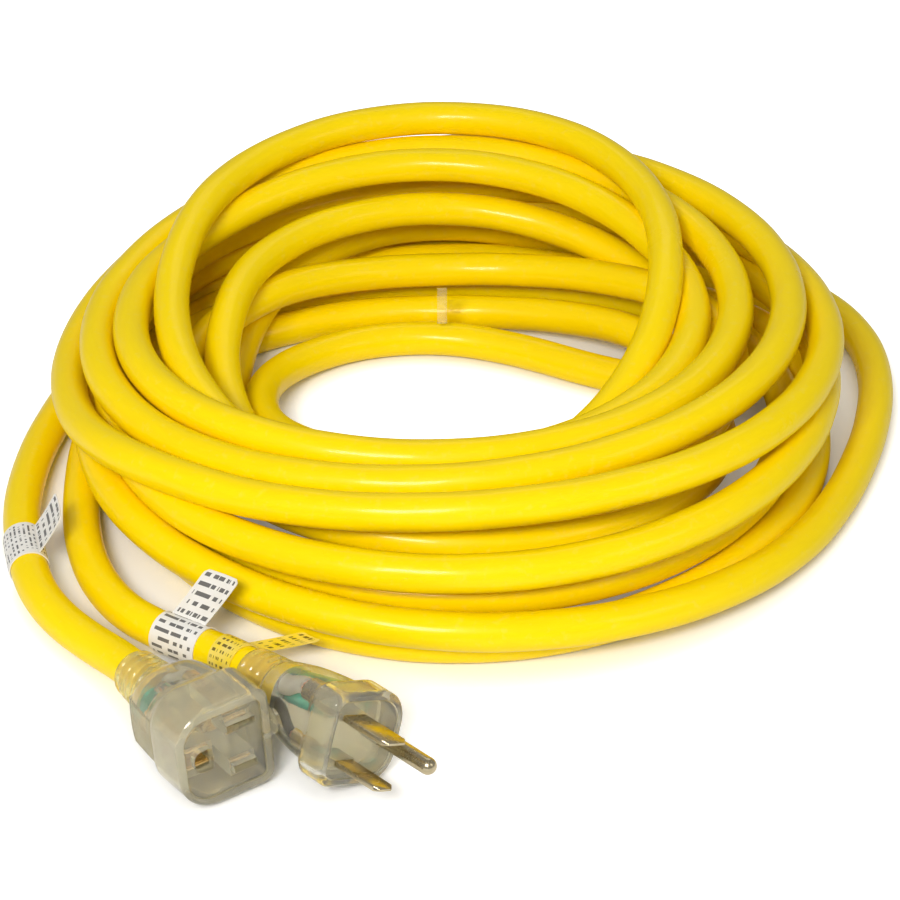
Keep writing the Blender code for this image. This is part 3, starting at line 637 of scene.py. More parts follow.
def tube(name: str, path: np.ndarray, radius: float, sides: int = 24, lay: tuple[float, float] = (0.0, 1.0)):
    """Makes a round tube along a path, with a UV map "along" of turns round it and metres along it.

    Args:
        name: The mesh's name.
        path: Points along the middle.
        radius: The tube's radius.
        sides: Faces round it.
        lay: Height of three soft ridges that wind round it, and the length of one turn.

    Returns:
        The mesh.
    """
    tangent = np.gradient(path, axis=0)
    tangent /= np.linalg.norm(tangent, axis=1)[:, None]
    along = distances(path)
    side = np.cross(tangent[0], (0.0, 0.0, 1.0))
    if np.linalg.norm(side) < 1e-6:
        side = np.array((1.0, 0.0, 0.0))
    sides_of = []
    for direction in tangent:
        side = side - direction * side.dot(direction)
        side /= np.linalg.norm(side)
        sides_of.append(side)
    across = np.array(sides_of)
    up = np.cross(tangent, across)
    angle = np.arange(sides) * 2 * math.pi / sides
    ridge = 1 + lay[0] * np.cos(3 * (angle[None, :] - 2 * math.pi * along[:, None] / lay[1]))
    reach = (radius * ridge)[:, :, None]
    ring = across[:, None, :] * np.cos(angle)[None, :, None] + up[:, None, :] * np.sin(angle)[None, :, None]
    points = (path[:, None, :] + ring * reach).reshape(-1, 3)
    count = len(path)
    i, j = np.meshgrid(np.arange(count - 1), np.arange(sides), indexing="ij")
    k = (j + 1) % sides
    corners = [i * sides + j, (i + 1) * sides + j, (i + 1) * sides + k, i * sides + k]
    faces = np.stack(corners, -1).reshape(-1, 4)
    mesh = bpy.data.meshes.new(name)
    caps = [list(range(sides)), list(range((count - 1) * sides, count * sides))[::-1]]
    mesh.from_pydata(points.tolist(), [], faces.tolist() + caps)
    uv = np.zeros((len(mesh.loops), 2))
    turns = np.stack([j, j, j + 1, j + 1], -1).reshape(-1) / sides
    metres = np.stack([along[i], along[i + 1], along[i + 1], along[i]], -1).reshape(-1)
    uv[: len(turns), 0] = turns
    uv[: len(metres), 1] = metres
    mesh.uv_layers.new(name="along").data.foreach_set("uv", uv.ravel())
    face_outwards(mesh)
    smooth_by_angle(mesh, 50)
    return mesh


class Maker:
    """Turns meshes into finished pieces: in place, dressed and riding on a body."""

    def __init__(self, palette: Palette) -> None:
        """Keeps the materials."""
        self.palette = palette

    def carve(self, mesh: Mesh, steps: Sequence[tuple[str, Mesh]]) -> Mesh:
        """Cuts helper meshes from a mesh or joins them to it, one Boolean step each."""
        scratch = put("carving", mesh)
        helpers = []
        for operation, helper_mesh in steps:
            helper = put("helper", helper_mesh)
            modifier = scratch.modifiers.new("carve", "BOOLEAN")
            modifier.operation = operation
            modifier.object = helper
            modifier.solver = "EXACT"
            helpers.append(helper)
        result = evaluated(scratch)
        for piece in (*helpers, scratch):
            bpy.data.objects.remove(piece, do_unlink=True)
        result.materials.clear()
        return result

    def finish(
        self,
        name: str,
        mesh: Mesh,
        look: str,
        slot: str,
        replaces: Sequence[str] = (),
        place: Matrix | None = None,
        smooth: float | None = 35.0,
        body: str = CORD_BODY,
    ) -> Piece:
        """Makes a finished piece of a mesh.

        Args:
            name: The piece's name.
            mesh: Its mesh.
            look: Its material's short name.
            slot: The record's material slot. Not used.
            replaces: CAD nodes that it stands for.
            place: Where its mesh goes.
            smooth: Angle of the sharpest edge that is shaded smooth, or None to leave the shading.
            body: The CAD body that it moves with.

        Returns:
            The piece.
        """
        if place is not None:
            mesh.transform(place)
        if smooth is not None:
            smooth_by_angle(mesh, smooth)
        mesh.materials.clear()
        mesh.materials.append(self.palette[look])
        piece = put(name, mesh)
        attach(piece, body)
        if replaces:
            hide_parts(*replaces)
        LOG.info("%s: %d faces", name, len(mesh.polygons))
        return piece

    def dress(self, node: str, look: str) -> Piece:
        """Gives a CAD node that stays a better material and returns it."""
        piece = frame["nodes"][node]
        if not piece.material_slots:
            piece.data.materials.append(self.palette[look])
        for slot in piece.material_slots:
            slot.material = self.palette[look]
        return piece


# ---------------------------------------------------------------- the two ends


@dataclass(frozen=True)
class EndPose:
    """How one end lies. Its frame is at the middle of its mating face, with local +Y back along the cord."""

    mount: str
    turn: float
    pitch: float
    roll: float
    mount_x_mm: float = 1.5

    def matrix(self) -> Matrix:
        """Works out the end's frame, in the row frame, from the record's mount on its face."""
        turned_by = (
            Matrix.Rotation(math.radians(self.turn), 4, "Z")
            @ Matrix.Rotation(math.radians(-self.pitch), 4, "X")
            @ Matrix.Rotation(math.radians(self.roll), 4, "Y")
        )
        found = next(m for m in frame["record"]["mounts"] if m["name"] == self.mount)
        origin = Vector(found["pos_m"]) - turned_by.to_3x3() @ Vector((self.mount_x_mm * MM, 0, 0))
        return Matrix.Translation(origin) @ turned_by


@dataclass(frozen=True)
class Contacts:
    """The standard pattern of the blades and the ground pin, and how the conductors reach them."""

    spacing_mm: float = 12.7
    pin_offset_mm: float = 11.9
    blade_mm: float = 1.5
    line_mm: float = 6.35
    neutral_mm: float = 7.9
    pin_mm: float = 4.8
    crimp_mm: float = 4.4
    crimp_length_mm: float = 7.0
    conductor_mm: float = 3.6
    pitch_mm: float = 4.6

    def seat(self, index: int, mirrored: bool) -> tuple[float, float]:
        """Returns where a conductor's middle lies in the jacket's end: line, neutral, ground."""
        angle = math.radians((-60, 60, 180)[index])
        reach = self.pitch_mm / math.sqrt(3) * MM
        return (-1 if mirrored else 1) * reach * math.cos(angle), reach * math.sin(angle)

    def conductor(self, index: int, crimp: tuple[float, float], rear: float, front: float, mirrored: bool):
        """Builds an insulated conductor and its bare strands.

        Args:
            index: 0 for line, 1 for neutral, 2 for ground.
            crimp: X and Z of the crimp's middle.
            rear: Where the crimp ends.
            front: Where the jacket starts.
            mirrored: Whether the conductors lie the other way round.

        Returns:
            The insulation's mesh and the strands' mesh.
        """
        seat = self.seat(index, mirrored)
        start = np.array((crimp[0], rear + 0.3 * MM, crimp[1]))
        end = np.array((seat[0], front - 0.3 * MM, seat[1]))
        path = []
        for t in np.linspace(0, 1, 25):
            ease = t * t * (3 - 2 * t)
            place = start + (end - start) * np.array((ease, t, ease))
            path.append(place)
        radius = (self.conductor_mm / 2 - 0.12) * MM
        route = np.array(path)
        strands = []
        for turn in range(7):
            angle = turn * math.pi / 3
            reach = 0.0 if turn == 6 else 0.75 * MM
            wind = np.linspace(0, 1.6, 12)
            line = np.stack(
                [
                    start[0] + reach * np.cos(angle + wind),
                    np.linspace(rear - 0.4 * MM, rear + 1.3 * MM, 12),
                    start[2] + reach * np.sin(angle + wind),
                ],
                1,
            )
            strands.append(tube("strand", line, 0.36 * MM, 8))
        bm = bmesh.new()
        for strand in strands:
            bm.from_mesh(strand)
        bundle = bpy.data.meshes.new("strands")
        bm.to_mesh(bundle)
        bm.free()
        return tube("conductor", route[2:], radius, 20), bundle


def wires(maker: Maker, end: "Connector | Plug", name: str, rear: float, mirrored: bool) -> list[Piece]:
    """Builds the three conductors of an end, each an insulated wire and its bare strands."""
    pieces = []
    place, front = end.pose.matrix(), (end.length_mm - end.stripped_mm) * MM
    for index, (role, colour) in enumerate(ROLES):
        x, z = end.places()[index][:2]
        wire, strands = end.contacts.conductor(index, (x * MM, z * MM), rear, front, mirrored)
        slot, node = f"{colour}_insulation", f"{name}_{role}_conductor"
        pieces.append(maker.finish(f"{name}_{role}_wire", wire, colour, slot, [node], place, None))
        pieces.append(maker.finish(f"{name}_{role}_strands", strands, "copper", slot, (), place, None))
    return pieces


@dataclass
class StrainRelief:
    """The ribbed, tapered neck behind a clear body."""

    length_mm: float = 12.0
    front_mm: float = 8.0
    rear_mm: float = 7.0
    grooves: int = 3
    groove_mm: float = 0.7

    def mesh(self, maker: Maker, start: float) -> Mesh:
        """Builds the neck in its end's frame, from a place along Y."""
        length = self.length_mm * MM
        front, rear = self.front_mm * MM, self.rear_mm * MM
        profile = [(0.0, start), (front - 0.5 * MM, start), (front, start + 0.4 * MM)]
        for step in range(1, 96):
            share = step / 96
            radius = (self.front_mm + (self.rear_mm - self.front_mm) * share) * MM
            wave = 0.5 - 0.5 * math.cos(2 * math.pi * self.grooves * share)
            profile.append((radius - self.groove_mm * MM * wave**3, start + length * (0.04 + 0.9 * share)))
        profile += [(rear - 0.35 * MM, start + length - 0.15 * MM)]
        profile += [(rear - 0.6 * MM, start + length), (0.0, start + length)]
        bore = rod(0, 0, start - MM, start + length + MM, BORE_MM * MM, 48)
        return maker.carve(turned(profile, 56), [("DIFFERENCE", bore)])


@dataclass
class Connector:
    """The clear socket end: body, insert, finger rest, grip ribs, contacts, conductors and lamp."""

    pose: EndPose
    width_mm: float = 28.0
    height_mm: float = 29.0
    length_mm: float = 38.0
    wall_mm: float = 1.8
    insert_mm: float = 19.7
    face_mm: float = 2.5
    blade_x_mm: float = 4.5
    stripped_mm: float = 5.0
    ribs: int = 12
    rib_pitch_mm: float = 1.25
    contacts: Contacts = field(default_factory=Contacts)
    relief: StrainRelief = field(default_factory=StrainRelief)

    def places(self) -> tuple[tuple[float, float, float, float, float], ...]:
        """Returns x, z, slot width, slot height and grip of the line, neutral and ground contacts, in mm."""
        half = self.contacts.spacing_mm / 2
        x = self.blade_x_mm
        return (
            (x, -half, self.contacts.line_mm + 0.6, self.contacts.blade_mm + 0.6, 1.0),
            (x, half, self.contacts.neutral_mm + 0.6, self.contacts.blade_mm + 0.6, 1.0),
            (x - self.contacts.pin_offset_mm, 0.0, 5.4, 6.4, 4.3),
        )

    def cavity(self) -> tuple[float, float, float]:
        """Returns the middle, width and height of the room for the insert, in metres."""
        left = -self.width_mm / 2 - 0.5 + self.wall_mm
        right = self.width_mm / 2 - 0.5 - 1.5 * self.wall_mm
        return (left + right) / 2 * MM, (right - left) * MM, (self.height_mm - 3 * self.wall_mm) * MM

    def body_mesh(self, maker: Maker) -> Mesh:
        """Builds the outer moulding with its finger rest and the room for the insert."""
        w, h = self.width_mm, self.height_mm
        keys = [
            (0.0, w - 2.2, h - 2.2, 9.2, 3.2, -0.5),
            (0.35, w - 1.0, h - 1.0, 9.6, 3.7, -0.5),
            (1.0, w - 0.1, h - 0.1, 10.0, 4.0, -0.5),
            (14.6, w, h, 10.0, 4.0, -0.5),
            (15.6, w - 0.8, h - 0.8, 9.8, 4.4, -0.5),
            (17.2, w - 2.2, h - 3.2, 9.2, 5.0, -0.5),
            (22.0, w - 2.6, h - 4.2, 9.0, 6.2, -0.4),
            (29.0, w - 3.6, h - 5.2, 9.0, 7.6, -0.3),
            (34.2, 19.8, 19.4, 8.8, 8.8, -0.05),
            (37.4, 16.2, 16.2, 8.0, 8.0, 0.0),
            (self.length_mm, 15.6, 15.6, 7.7, 7.7, 0.0),
        ]
        body = loft(body_sections([[v * MM for v in row] for row in keys], 1.2 * MM))
        middle, width, height = self.cavity()
        front = outline(width, height, 6.5 * MM, 2 * MM, middle)
        room = loft([(-2 * MM, front), (self.insert_mm * MM + 0.3 * MM, front)])
        steps = [("UNION", self.finger_rest()), ("DIFFERENCE", room)]
        bore = jacket_bore(self.length_mm, self.stripped_mm)
        return maker.carve(body, [*steps, ("DIFFERENCE", bore)])

    def finger_rest(self) -> Mesh:
        """Builds the dished round boss on the right flank, with its raised rim."""
        flank = (self.width_mm / 2 - 0.5) * MM
        reach = (3.1 * MM, 2.2 * MM)
        profile = [(0.0, -3 * MM), (7.2 * MM, -3 * MM), (7.2 * MM, reach[0] - 0.9 * MM)]
        profile += [(6.9 * MM, reach[0] - 0.3 * MM), (6.3 * MM, reach[0]), (5.6 * MM, reach[0] - 0.3 * MM)]
        profile += [(4.6 * MM, reach[1]), (2.4 * MM, reach[1] - 0.4 * MM), (0.0, reach[1] - 0.5 * MM)]
        boss = turned(profile, 56)
        squeeze = Matrix.Diagonal((0.94, 1.0, 0.66, 1.0))
        # The boss is turned about Y, so it is tipped to stand out along +X.
        tip = Matrix.Rotation(math.radians(-90), 4, "Z")
        boss.transform(Matrix.Translation((flank, 8.4 * MM, 0.0)) @ tip @ squeeze)
        return mesh_from("boss", lambda bm: bm.from_mesh(boss))

    def insert_mesh(self, maker: Maker) -> Mesh:
        """Builds the inner block with the slots, the D-shaped ground hole and the contact pockets."""
        middle, width, height = self.cavity()
        width, height = width - 0.5 * MM, height - 0.5 * MM
        rim = 0.5 * MM
        sections = [
            (0.0, outline(width - 2 * rim, height - 2 * rim, 5.8 * MM, 1.4 * MM, middle)),
            (0.2 * MM, outline(width - 0.6 * rim, height - 0.6 * rim, 6.1 * MM, 1.7 * MM, middle)),
            (rim, outline(width, height, 6.2 * MM, 1.8 * MM, middle)),
            (self.insert_mm * MM, outline(width, height, 6.2 * MM, 1.8 * MM, middle)),
        ]
        cuts = []
        for index, (x, z, slot_width, slot_height, grip) in enumerate(self.places()):
            if index < 2:
                size = (slot_width * MM, (self.face_mm + 4) * MM, slot_height * MM)
                cuts.append(("DIFFERENCE", round_box((x * MM, self.face_mm / 2 * MM, z * MM), size, 0.0)))
            else:
                hole = outline(slot_width * MM, slot_height * MM, 2.6 * MM, 0.7 * MM, x * MM, 6)
                cuts.append(("DIFFERENCE", loft([(-2 * MM, hole), (self.face_mm * MM + 0.2 * MM, hole)])))
            pocket = (7.6 * MM, self.insert_mm * MM, (grip + 4.4) * MM)
            centre = (x * MM, (self.face_mm + self.insert_mm / 2) * MM, z * MM)
            cuts.append(("DIFFERENCE", round_box(centre, pocket, 0.0)))
        return maker.carve(loft(sections), cuts)

    def rib_mesh(self, place: Matrix) -> Mesh:
        """Builds the grip ribs on the left flank with Geometry Nodes and puts them in place."""
        tree = bpy.data.node_groups.new("grip_ribs", "GeometryNodeTree")
        sockets = {}
        kinds = {"Geometry": "Geometry", "Count": "Int"}
        kinds |= {name: "Float" for name in ("Pitch", "Height", "Radius")}
        for name, kind in kinds.items():
            sockets[name] = tree.interface.new_socket(name, in_out="INPUT", socket_type="NodeSocket" + kind)
        tree.interface.new_socket("Geometry", in_out="OUTPUT", socket_type="NodeSocketGeometry")
        given, out, line, rib, offset, spread, real = (
            tree.nodes.new(kind)
            for kind in (
                "NodeGroupInput",
                "NodeGroupOutput",
                "GeometryNodeMeshLine",
                "GeometryNodeMeshCylinder",
                "ShaderNodeCombineXYZ",
                "GeometryNodeInstanceOnPoints",
                "GeometryNodeRealizeInstances",
            )
        )
        rib.inputs["Vertices"].default_value = 12
        rib.inputs["Side Segments"].default_value = 6
        for source, leaves, target, enters in (
            (given, "Count", line, "Count"),
            (given, "Pitch", offset, "Y"),
            (offset, "Vector", line, "Offset"),
            (given, "Height", rib, "Depth"),
            (given, "Radius", rib, "Radius"),
            (line, "Mesh", spread, "Points"),
            (rib, "Mesh", spread, "Instance"),
            (spread, "Instances", real, "Geometry"),
            (real, "Geometry", out, "Geometry"),
        ):
            tree.links.new(source.outputs[leaves], target.inputs[enters])
        holder = put("rib_holder", bpy.data.meshes.new("rib_holder"))
        modifier = holder.modifiers.new("ribs", "NODES")
        modifier.node_group = tree
        pitch, height, radius = self.rib_pitch_mm * MM, 12.5 * MM, 0.55 * MM
        values = {"Count": self.ribs, "Pitch": pitch, "Height": height, "Radius": radius}
        for name, value in values.items():
            modifier[sockets[name].identifier] = value
        mesh = evaluated(holder)
        bpy.data.objects.remove(holder, do_unlink=True)
        # Each rib bows with the flank and follows its taper.
        points = np.array([v.co for v in mesh.vertices])
        start = 17.6
        half = np.interp(points[:, 1] / MM + start, (15, 17.2, 22, 29, 34.2), (14.4, 13.4, 13.1, 12.5, 9.95))
        bow = 1 - 0.035 * (points[:, 2] / (6 * MM)) ** 2
        points[:, 0] += -(half * MM) * bow - 0.02 * MM
        points[:, 1] += start * MM
        mesh.vertices.foreach_set("co", points.ravel())
        mesh.transform(place)
        return mesh

    def build(self, maker: Maker) -> list[Piece]:
        """Builds every piece of the connector."""
        place = self.pose.matrix()
        body, block = self.body_mesh(maker), self.insert_mesh(maker)
        neck = self.relief.mesh(maker, (self.length_mm + NECK_GAP_MM) * MM)
        clear, relief = "clear_plastic", "connector_strain_relief"
        pieces = [
            maker.finish("connector_body", body, "cloudy", clear, ["connector_shell"], place),
            maker.finish("connector_block", block, "insert", clear, ["connector_insert"], place),
            maker.finish("connector_grip_ribs", self.rib_mesh(place), "cloudy", clear),
            maker.finish("connector_neck", neck, "neck", "strain_relief", [relief], place),
        ]
        rear = (self.insert_mm - 0.3 + self.contacts.crimp_length_mm) * MM
        pieces += wires(maker, self, "connector", rear, False)
        for role, _ in ROLES:
            for part in ("contact", "upper_leaf", "lower_leaf"):
                maker.dress(f"connector_{role}_{part}", "brass")
        maker.dress("indicator_lamp", "lamp")
        maker.dress("indicator_lead", "copper")
        maker.dress("indicator_resistor", "resistor")
        return pieces


@dataclass
class Plug:
    """The clear three-pin end: body, bridge, blades, ground pin and conductors."""

    pose: EndPose
    width_mm: float = 25.5
    height_mm: float = 26.5
    length_mm: float = 36.0
    wall_mm: float = 2.2
    bridge_mm: float = 9.7
    blade_x_mm: float = -4.4
    blade_length_mm: float = 17.5
    pin_length_mm: float = 20.6
    tang_mm: float = 12.0
    stripped_mm: float = 5.0
    contacts: Contacts = field(default_factory=Contacts)
    relief: StrainRelief = field(default_factory=StrainRelief)

    def places(self) -> tuple[tuple[float, float, float], ...]:
        """Returns x, z and width of the line blade, the neutral blade and the ground pin, in mm."""
        half = self.contacts.spacing_mm / 2
        x = self.blade_x_mm
        pattern = self.contacts
        pin = (x + pattern.pin_offset_mm, 0, pattern.pin_mm)
        return ((x, -half, pattern.line_mm), (x, half, pattern.neutral_mm), pin)

    def body_mesh(self, maker: Maker) -> Mesh:
        """Builds the outer moulding with the room for the bridge."""
        w, h = self.width_mm, self.height_mm
        keys = [
            (0.0, w - 2.0, h - 2.0, 4.2, 8.2, 0.4),
            (0.3, w - 0.9, h - 0.9, 4.6, 8.7, 0.4),
            (0.9, w - 0.1, h - 0.1, 5.0, 9.0, 0.4),
            (8.8, w, h, 5.0, 9.0, 0.4),
            (9.8, w - 0.9, h - 0.9, 5.0, 8.8, 0.4),
            (11.6, w - 3.2, h - 3.6, 5.0, 8.2, 0.4),
            (18.0, w - 3.8, h - 4.6, 5.4, 8.4, 0.35),
            (26.0, w - 5.0, h - 6.4, 6.6, 8.4, 0.2),
            (31.5, 18.4, 18.0, 8.2, 8.2, 0.0),
            (35.4, 16.2, 16.2, 8.0, 8.0, 0.0),
            (self.length_mm, 15.6, 15.6, 7.7, 7.7, 0.0),
        ]
        body = loft(body_sections([[v * MM for v in row] for row in keys], 1.2 * MM))
        width, height = (w - 2 * self.wall_mm) * MM, (h - 2 * self.wall_mm) * MM
        front = outline(width, height, 3 * MM, 7 * MM, 0.4 * MM)
        room = loft([(-2 * MM, front), ((self.bridge_mm + 0.3) * MM, front)])
        bore = jacket_bore(self.length_mm, self.stripped_mm)
        return maker.carve(body, [("DIFFERENCE", room), ("DIFFERENCE", bore)])

    def bridge_mesh(self, maker: Maker) -> Mesh:
        """Builds the inner block that the blades and the pin pass through."""
        width = (self.width_mm - 2 * self.wall_mm - 0.5) * MM
        height = (self.height_mm - 2 * self.wall_mm - 0.5) * MM
        rim = 0.4 * MM
        sections = [
            (0.0, outline(width - 2 * rim, height - 2 * rim, 2.5 * MM, 6.5 * MM, 0.4 * MM)),
            (0.15 * MM, outline(width - 0.6 * rim, height - 0.6 * rim, 2.7 * MM, 6.7 * MM, 0.4 * MM)),
            (rim, outline(width, height, 2.8 * MM, 6.8 * MM, 0.4 * MM)),
            (self.bridge_mm * MM, outline(width, height, 2.8 * MM, 6.8 * MM, 0.4 * MM)),
        ]
        cuts = []
        for x, z, wide in self.places()[:2]:
            size = ((wide + 0.4) * MM, (self.bridge_mm + 6) * MM, (self.contacts.blade_mm + 0.4) * MM)
            cuts.append(("DIFFERENCE", round_box((x * MM, self.bridge_mm / 2 * MM, z * MM), size, 0.0)))
        x, z, wide = self.places()[2]
        hole = rod(x * MM, z * MM, -3 * MM, (self.bridge_mm + 3) * MM, (wide / 2 + 0.2) * MM, 48)
        cuts.append(("DIFFERENCE", hole))
        return maker.carve(loft(sections), cuts)

    def blade_mesh(self, maker: Maker, x: float, z: float, width: float) -> Mesh:
        """Builds a blade, placed in mm, with a chamfered tip, rolled long edges and its crimp barrel."""
        half, thin = width / 2, self.contacts.blade_mm / 2
        rows = [(-self.blade_length_mm, half - 1.3, 0.28), (-self.blade_length_mm + 0.25, half - 1.05, 0.36)]
        rows += [(-self.blade_length_mm + 1.6, half - 0.05, thin), (self.tang_mm, half, thin)]
        sections = []
        for y, wide, tall in rows:
            edge = min(0.3, tall * 0.8)
            sections.append((y * MM, outline(2 * wide * MM, 2 * tall * MM, edge * MM, edge * MM, x * MM, 4)))
        sections = [(y, [(px, pz + z * MM) for px, pz in points]) for y, points in sections]
        end = self.tang_mm + self.contacts.crimp_length_mm
        barrel = rod(x * MM, z * MM, (self.tang_mm - 1) * MM, end * MM, self.contacts.crimp_mm / 2 * MM)
        return maker.carve(loft(sections), [("UNION", barrel)])

    def pin_mesh(self) -> Mesh:
        """Builds the ground pin with its domed tip and crimp barrel."""
        x, z, wide = self.places()[2]
        radius = wide / 2 * MM
        tip = -self.pin_length_mm * MM
        profile = [(0.0, tip)]
        for step in range(1, 13):
            angle = math.radians(90 * step / 12)
            profile.append((radius * math.sin(angle), tip + radius * (1 - math.cos(angle))))
        neck = self.contacts.crimp_mm / 2 * MM
        end = (self.tang_mm + self.contacts.crimp_length_mm) * MM
        profile += [(radius, (self.bridge_mm - 1) * MM), (neck, (self.bridge_mm - 0.5) * MM)]
        profile += [(neck, end - 0.3 * MM), (neck - 0.3 * MM, end), (0.0, end)]
        return turned(profile, 48, (x * MM, z * MM))

    def build(self, maker: Maker) -> list[Piece]:
        """Builds every piece of the plug."""
        place = self.pose.matrix()
        line, neutral = (self.blade_mesh(maker, *spot) for spot in self.places()[:2])
        neck = self.relief.mesh(maker, (self.length_mm + NECK_GAP_MM) * MM)
        clear, metal = "clear_plastic", "plug_brass"
        pieces = [
            maker.finish("plug_body", self.body_mesh(maker), "clear", clear, ["plug_shell"], place),
            maker.finish("plug_block", self.bridge_mesh(maker), "insert", clear, ["plug_bridge"], place),
            maker.finish("line_blade", line, "pin", metal, ["plug_line_blade"], place),
            maker.finish("neutral_blade", neutral, "pin", metal, ["plug_neutral_blade"], place),
            maker.finish("ground_pin", self.pin_mesh(), "pin", metal, ["plug_ground_pin"], place),
            maker.finish("plug_neck", neck, "neck", "strain_relief", ["plug_strain_relief"], place),
        ]
        rear = (self.tang_mm + self.contacts.crimp_length_mm) * MM
        pieces += wires(maker, self, "plug", rear, True)
        return pieces


# ---------------------------------------------------------------- the cord


@dataclass
class CoiledCord:
    """The whole cord on one centreline: from the connector, round the hand-wound coil, to the plug.

    The cord was wound doubled, so its two halves run the same way round and meet in a fold under
    the coil. Each turn is given as (radius, height) in mm at its left, back, right and front, and
    the route is then relaxed until the strands lie on each other.
    """

    centre: Vector
    diameter: float = 11.2 * MM
    length: float = 8.2
    first_angle: float = 145.0
    connector_lead: tuple[Point, ...] = (
        (-148.2, -50.0, 8.6),
        (-149.8, -38.0, 7.4),
        (-151.0, -24.0, 6.7),
        (-149.6, -8.0, 6.5),
        (-143.8, 11.0, 6.5),
        (-134.6, 31.0, 6.2),
        (-123.8, 50.0, 5.8),
    )
    plug_lead: tuple[Point, ...] = (
        (-121.8, -70.0, 8.5),
        (-124.8, -60.0, 7.5),
        (-129.4, -48.0, 6.7),
        (-133.2, -35.0, 6.5),
        (-134.8, -20.0, 6.1),
        (-134.4, -6.0, 5.8),
    )
    stray_loop: tuple[Point, ...] = (
        (126.0, 44.6, 5.6),
        (138.0, 22.5, 5.6),
        (146.4, -2.0, 5.6),
        (147.6, -25.0, 5.6),
        (140.0, -45.0, 5.6),
        (125.8, -62.0, 5.6),
        (107.6, -79.4, 5.6),
    )
    connector_half: tuple[tuple[tuple[float, float], ...], ...] = (
        ((121, 6), (118, 6), (148, 6), (124, 17)),
        ((110, 17), (122, 17), (118, 30), (116, 31)),
        ((107, 27), (120, 29), (119, 41), (102, 43)),
        ((119, 26), (123, 42), (107, 49), (88, 43)),
        ((110, 36), (109, 50), (91, 45), (74, 42)),
        ((100, 43), (94, 52), (78, 42), (63, 32)),
    )
    plug_half: tuple[tuple[tuple[float, float], ...], ...] = (
        ((114, 6), (106, 8), (116, 6), (118, 6)),
        ((101, 15), (86, 8), (107, 17), (109, 18)),
        ((96, 20), (66, 8), (86, 18), (98, 28)),
        ((82, 30), (76, 19), (90, 32), (84, 29)),
        ((86, 43), (116, 58), (67, 45), (62, 18)),
        ((73, 28), (90, 38), (82, 18), (60, 6)),
    )
    fold_inner: float = 54.0
    fold_outer: float = 134.0
    hold: float = 0.012  # how firmly the coil keeps to its stations, against 1 at the leads
    loop_hold: float = 0.05  # the same for the loop that has slipped out
    sink: float = 3.0e-5  # how far each point drops in a round

    def _polar(self, stations: Sequence[tuple[float, float, float]]) -> np.ndarray:
        """Runs smoothly through (angle in degrees, radius, height) rows, with falling angles, in mm."""
        table = np.array(stations, float)
        angle, value = -table[:, 0], table[:, 1:]
        slope = np.gradient(value, angle, axis=0)
        out = []
        for i in range(len(table) - 1):
            gap = angle[i + 1] - angle[i]
            count = max(1, int(round(gap / 5)))
            for step in range(count):
                t = step / count
                radius, height = (
                    (2 * t**3 - 3 * t**2 + 1) * value[i]
                    + (t**3 - 2 * t**2 + t) * gap * slope[i]
                    + (3 * t**2 - 2 * t**3) * value[i + 1]
                    + (t**3 - t**2) * gap * slope[i + 1]
                )
                turn = -math.radians(angle[i] + gap * t)
                out.append((radius * math.cos(turn), radius * math.sin(turn), height))
        turn = -math.radians(angle[-1])
        out.append((value[-1, 0] * math.cos(turn), value[-1, 0] * math.sin(turn), value[-1, 1]))
        return np.array(out)

    def _stations(self, turns: Sequence[Sequence[tuple[float, float]]]) -> list[tuple[float, float, float]]:
        """Gives each turn's stations their angles, clockwise from above."""
        flat = [place for turn in turns for place in turn]
        return [(self.first_angle - 90.0 * i, radius, height) for i, (radius, height) in enumerate(flat)]

    def _halves(self) -> tuple[np.ndarray, np.ndarray, np.ndarray]:
        """Returns the connector's half, the fold and the plug's half, each from its lead inwards, in mm."""
        first = self._stations(self.connector_half)
        loop = []
        for x, y, z in self.stray_loop:
            loop.append((math.degrees(math.atan2(y, x)), math.hypot(x, y), z))
        first[2:3] = loop
        last = first[-1][0]
        inner = [(last - 90, 64, 12), (last - 180, 55, 7), (last - 215, self.fold_inner, 6)]
        inner.append((last - 235, self.fold_inner, 6))
        second = self._stations(self.plug_half)
        end = second[-1][0]
        outer = [(end - 90, 66, 8), (end - 180, 112, 22), (end - 215, self.fold_outer, 8)]
        outer.append((end - 235, self.fold_outer, 6))
        turn = math.radians(last - 235)
        middle = (self.fold_inner + self.fold_outer) / 2
        reach = (self.fold_outer - self.fold_inner) / 2
        out_way = np.array((math.cos(turn), math.sin(turn)))
        on_way = np.array((math.sin(turn), -math.cos(turn)))
        fold = []
        for angle in np.radians(np.linspace(0, 180, 9)[1:-1]):
            place = middle * out_way - reach * math.cos(angle) * out_way + reach * math.sin(angle) * on_way
            fold.append((place[0], place[1], 6.0))
        return self._polar([*first, *inner]), np.array(fold), self._polar([*second, *outer])

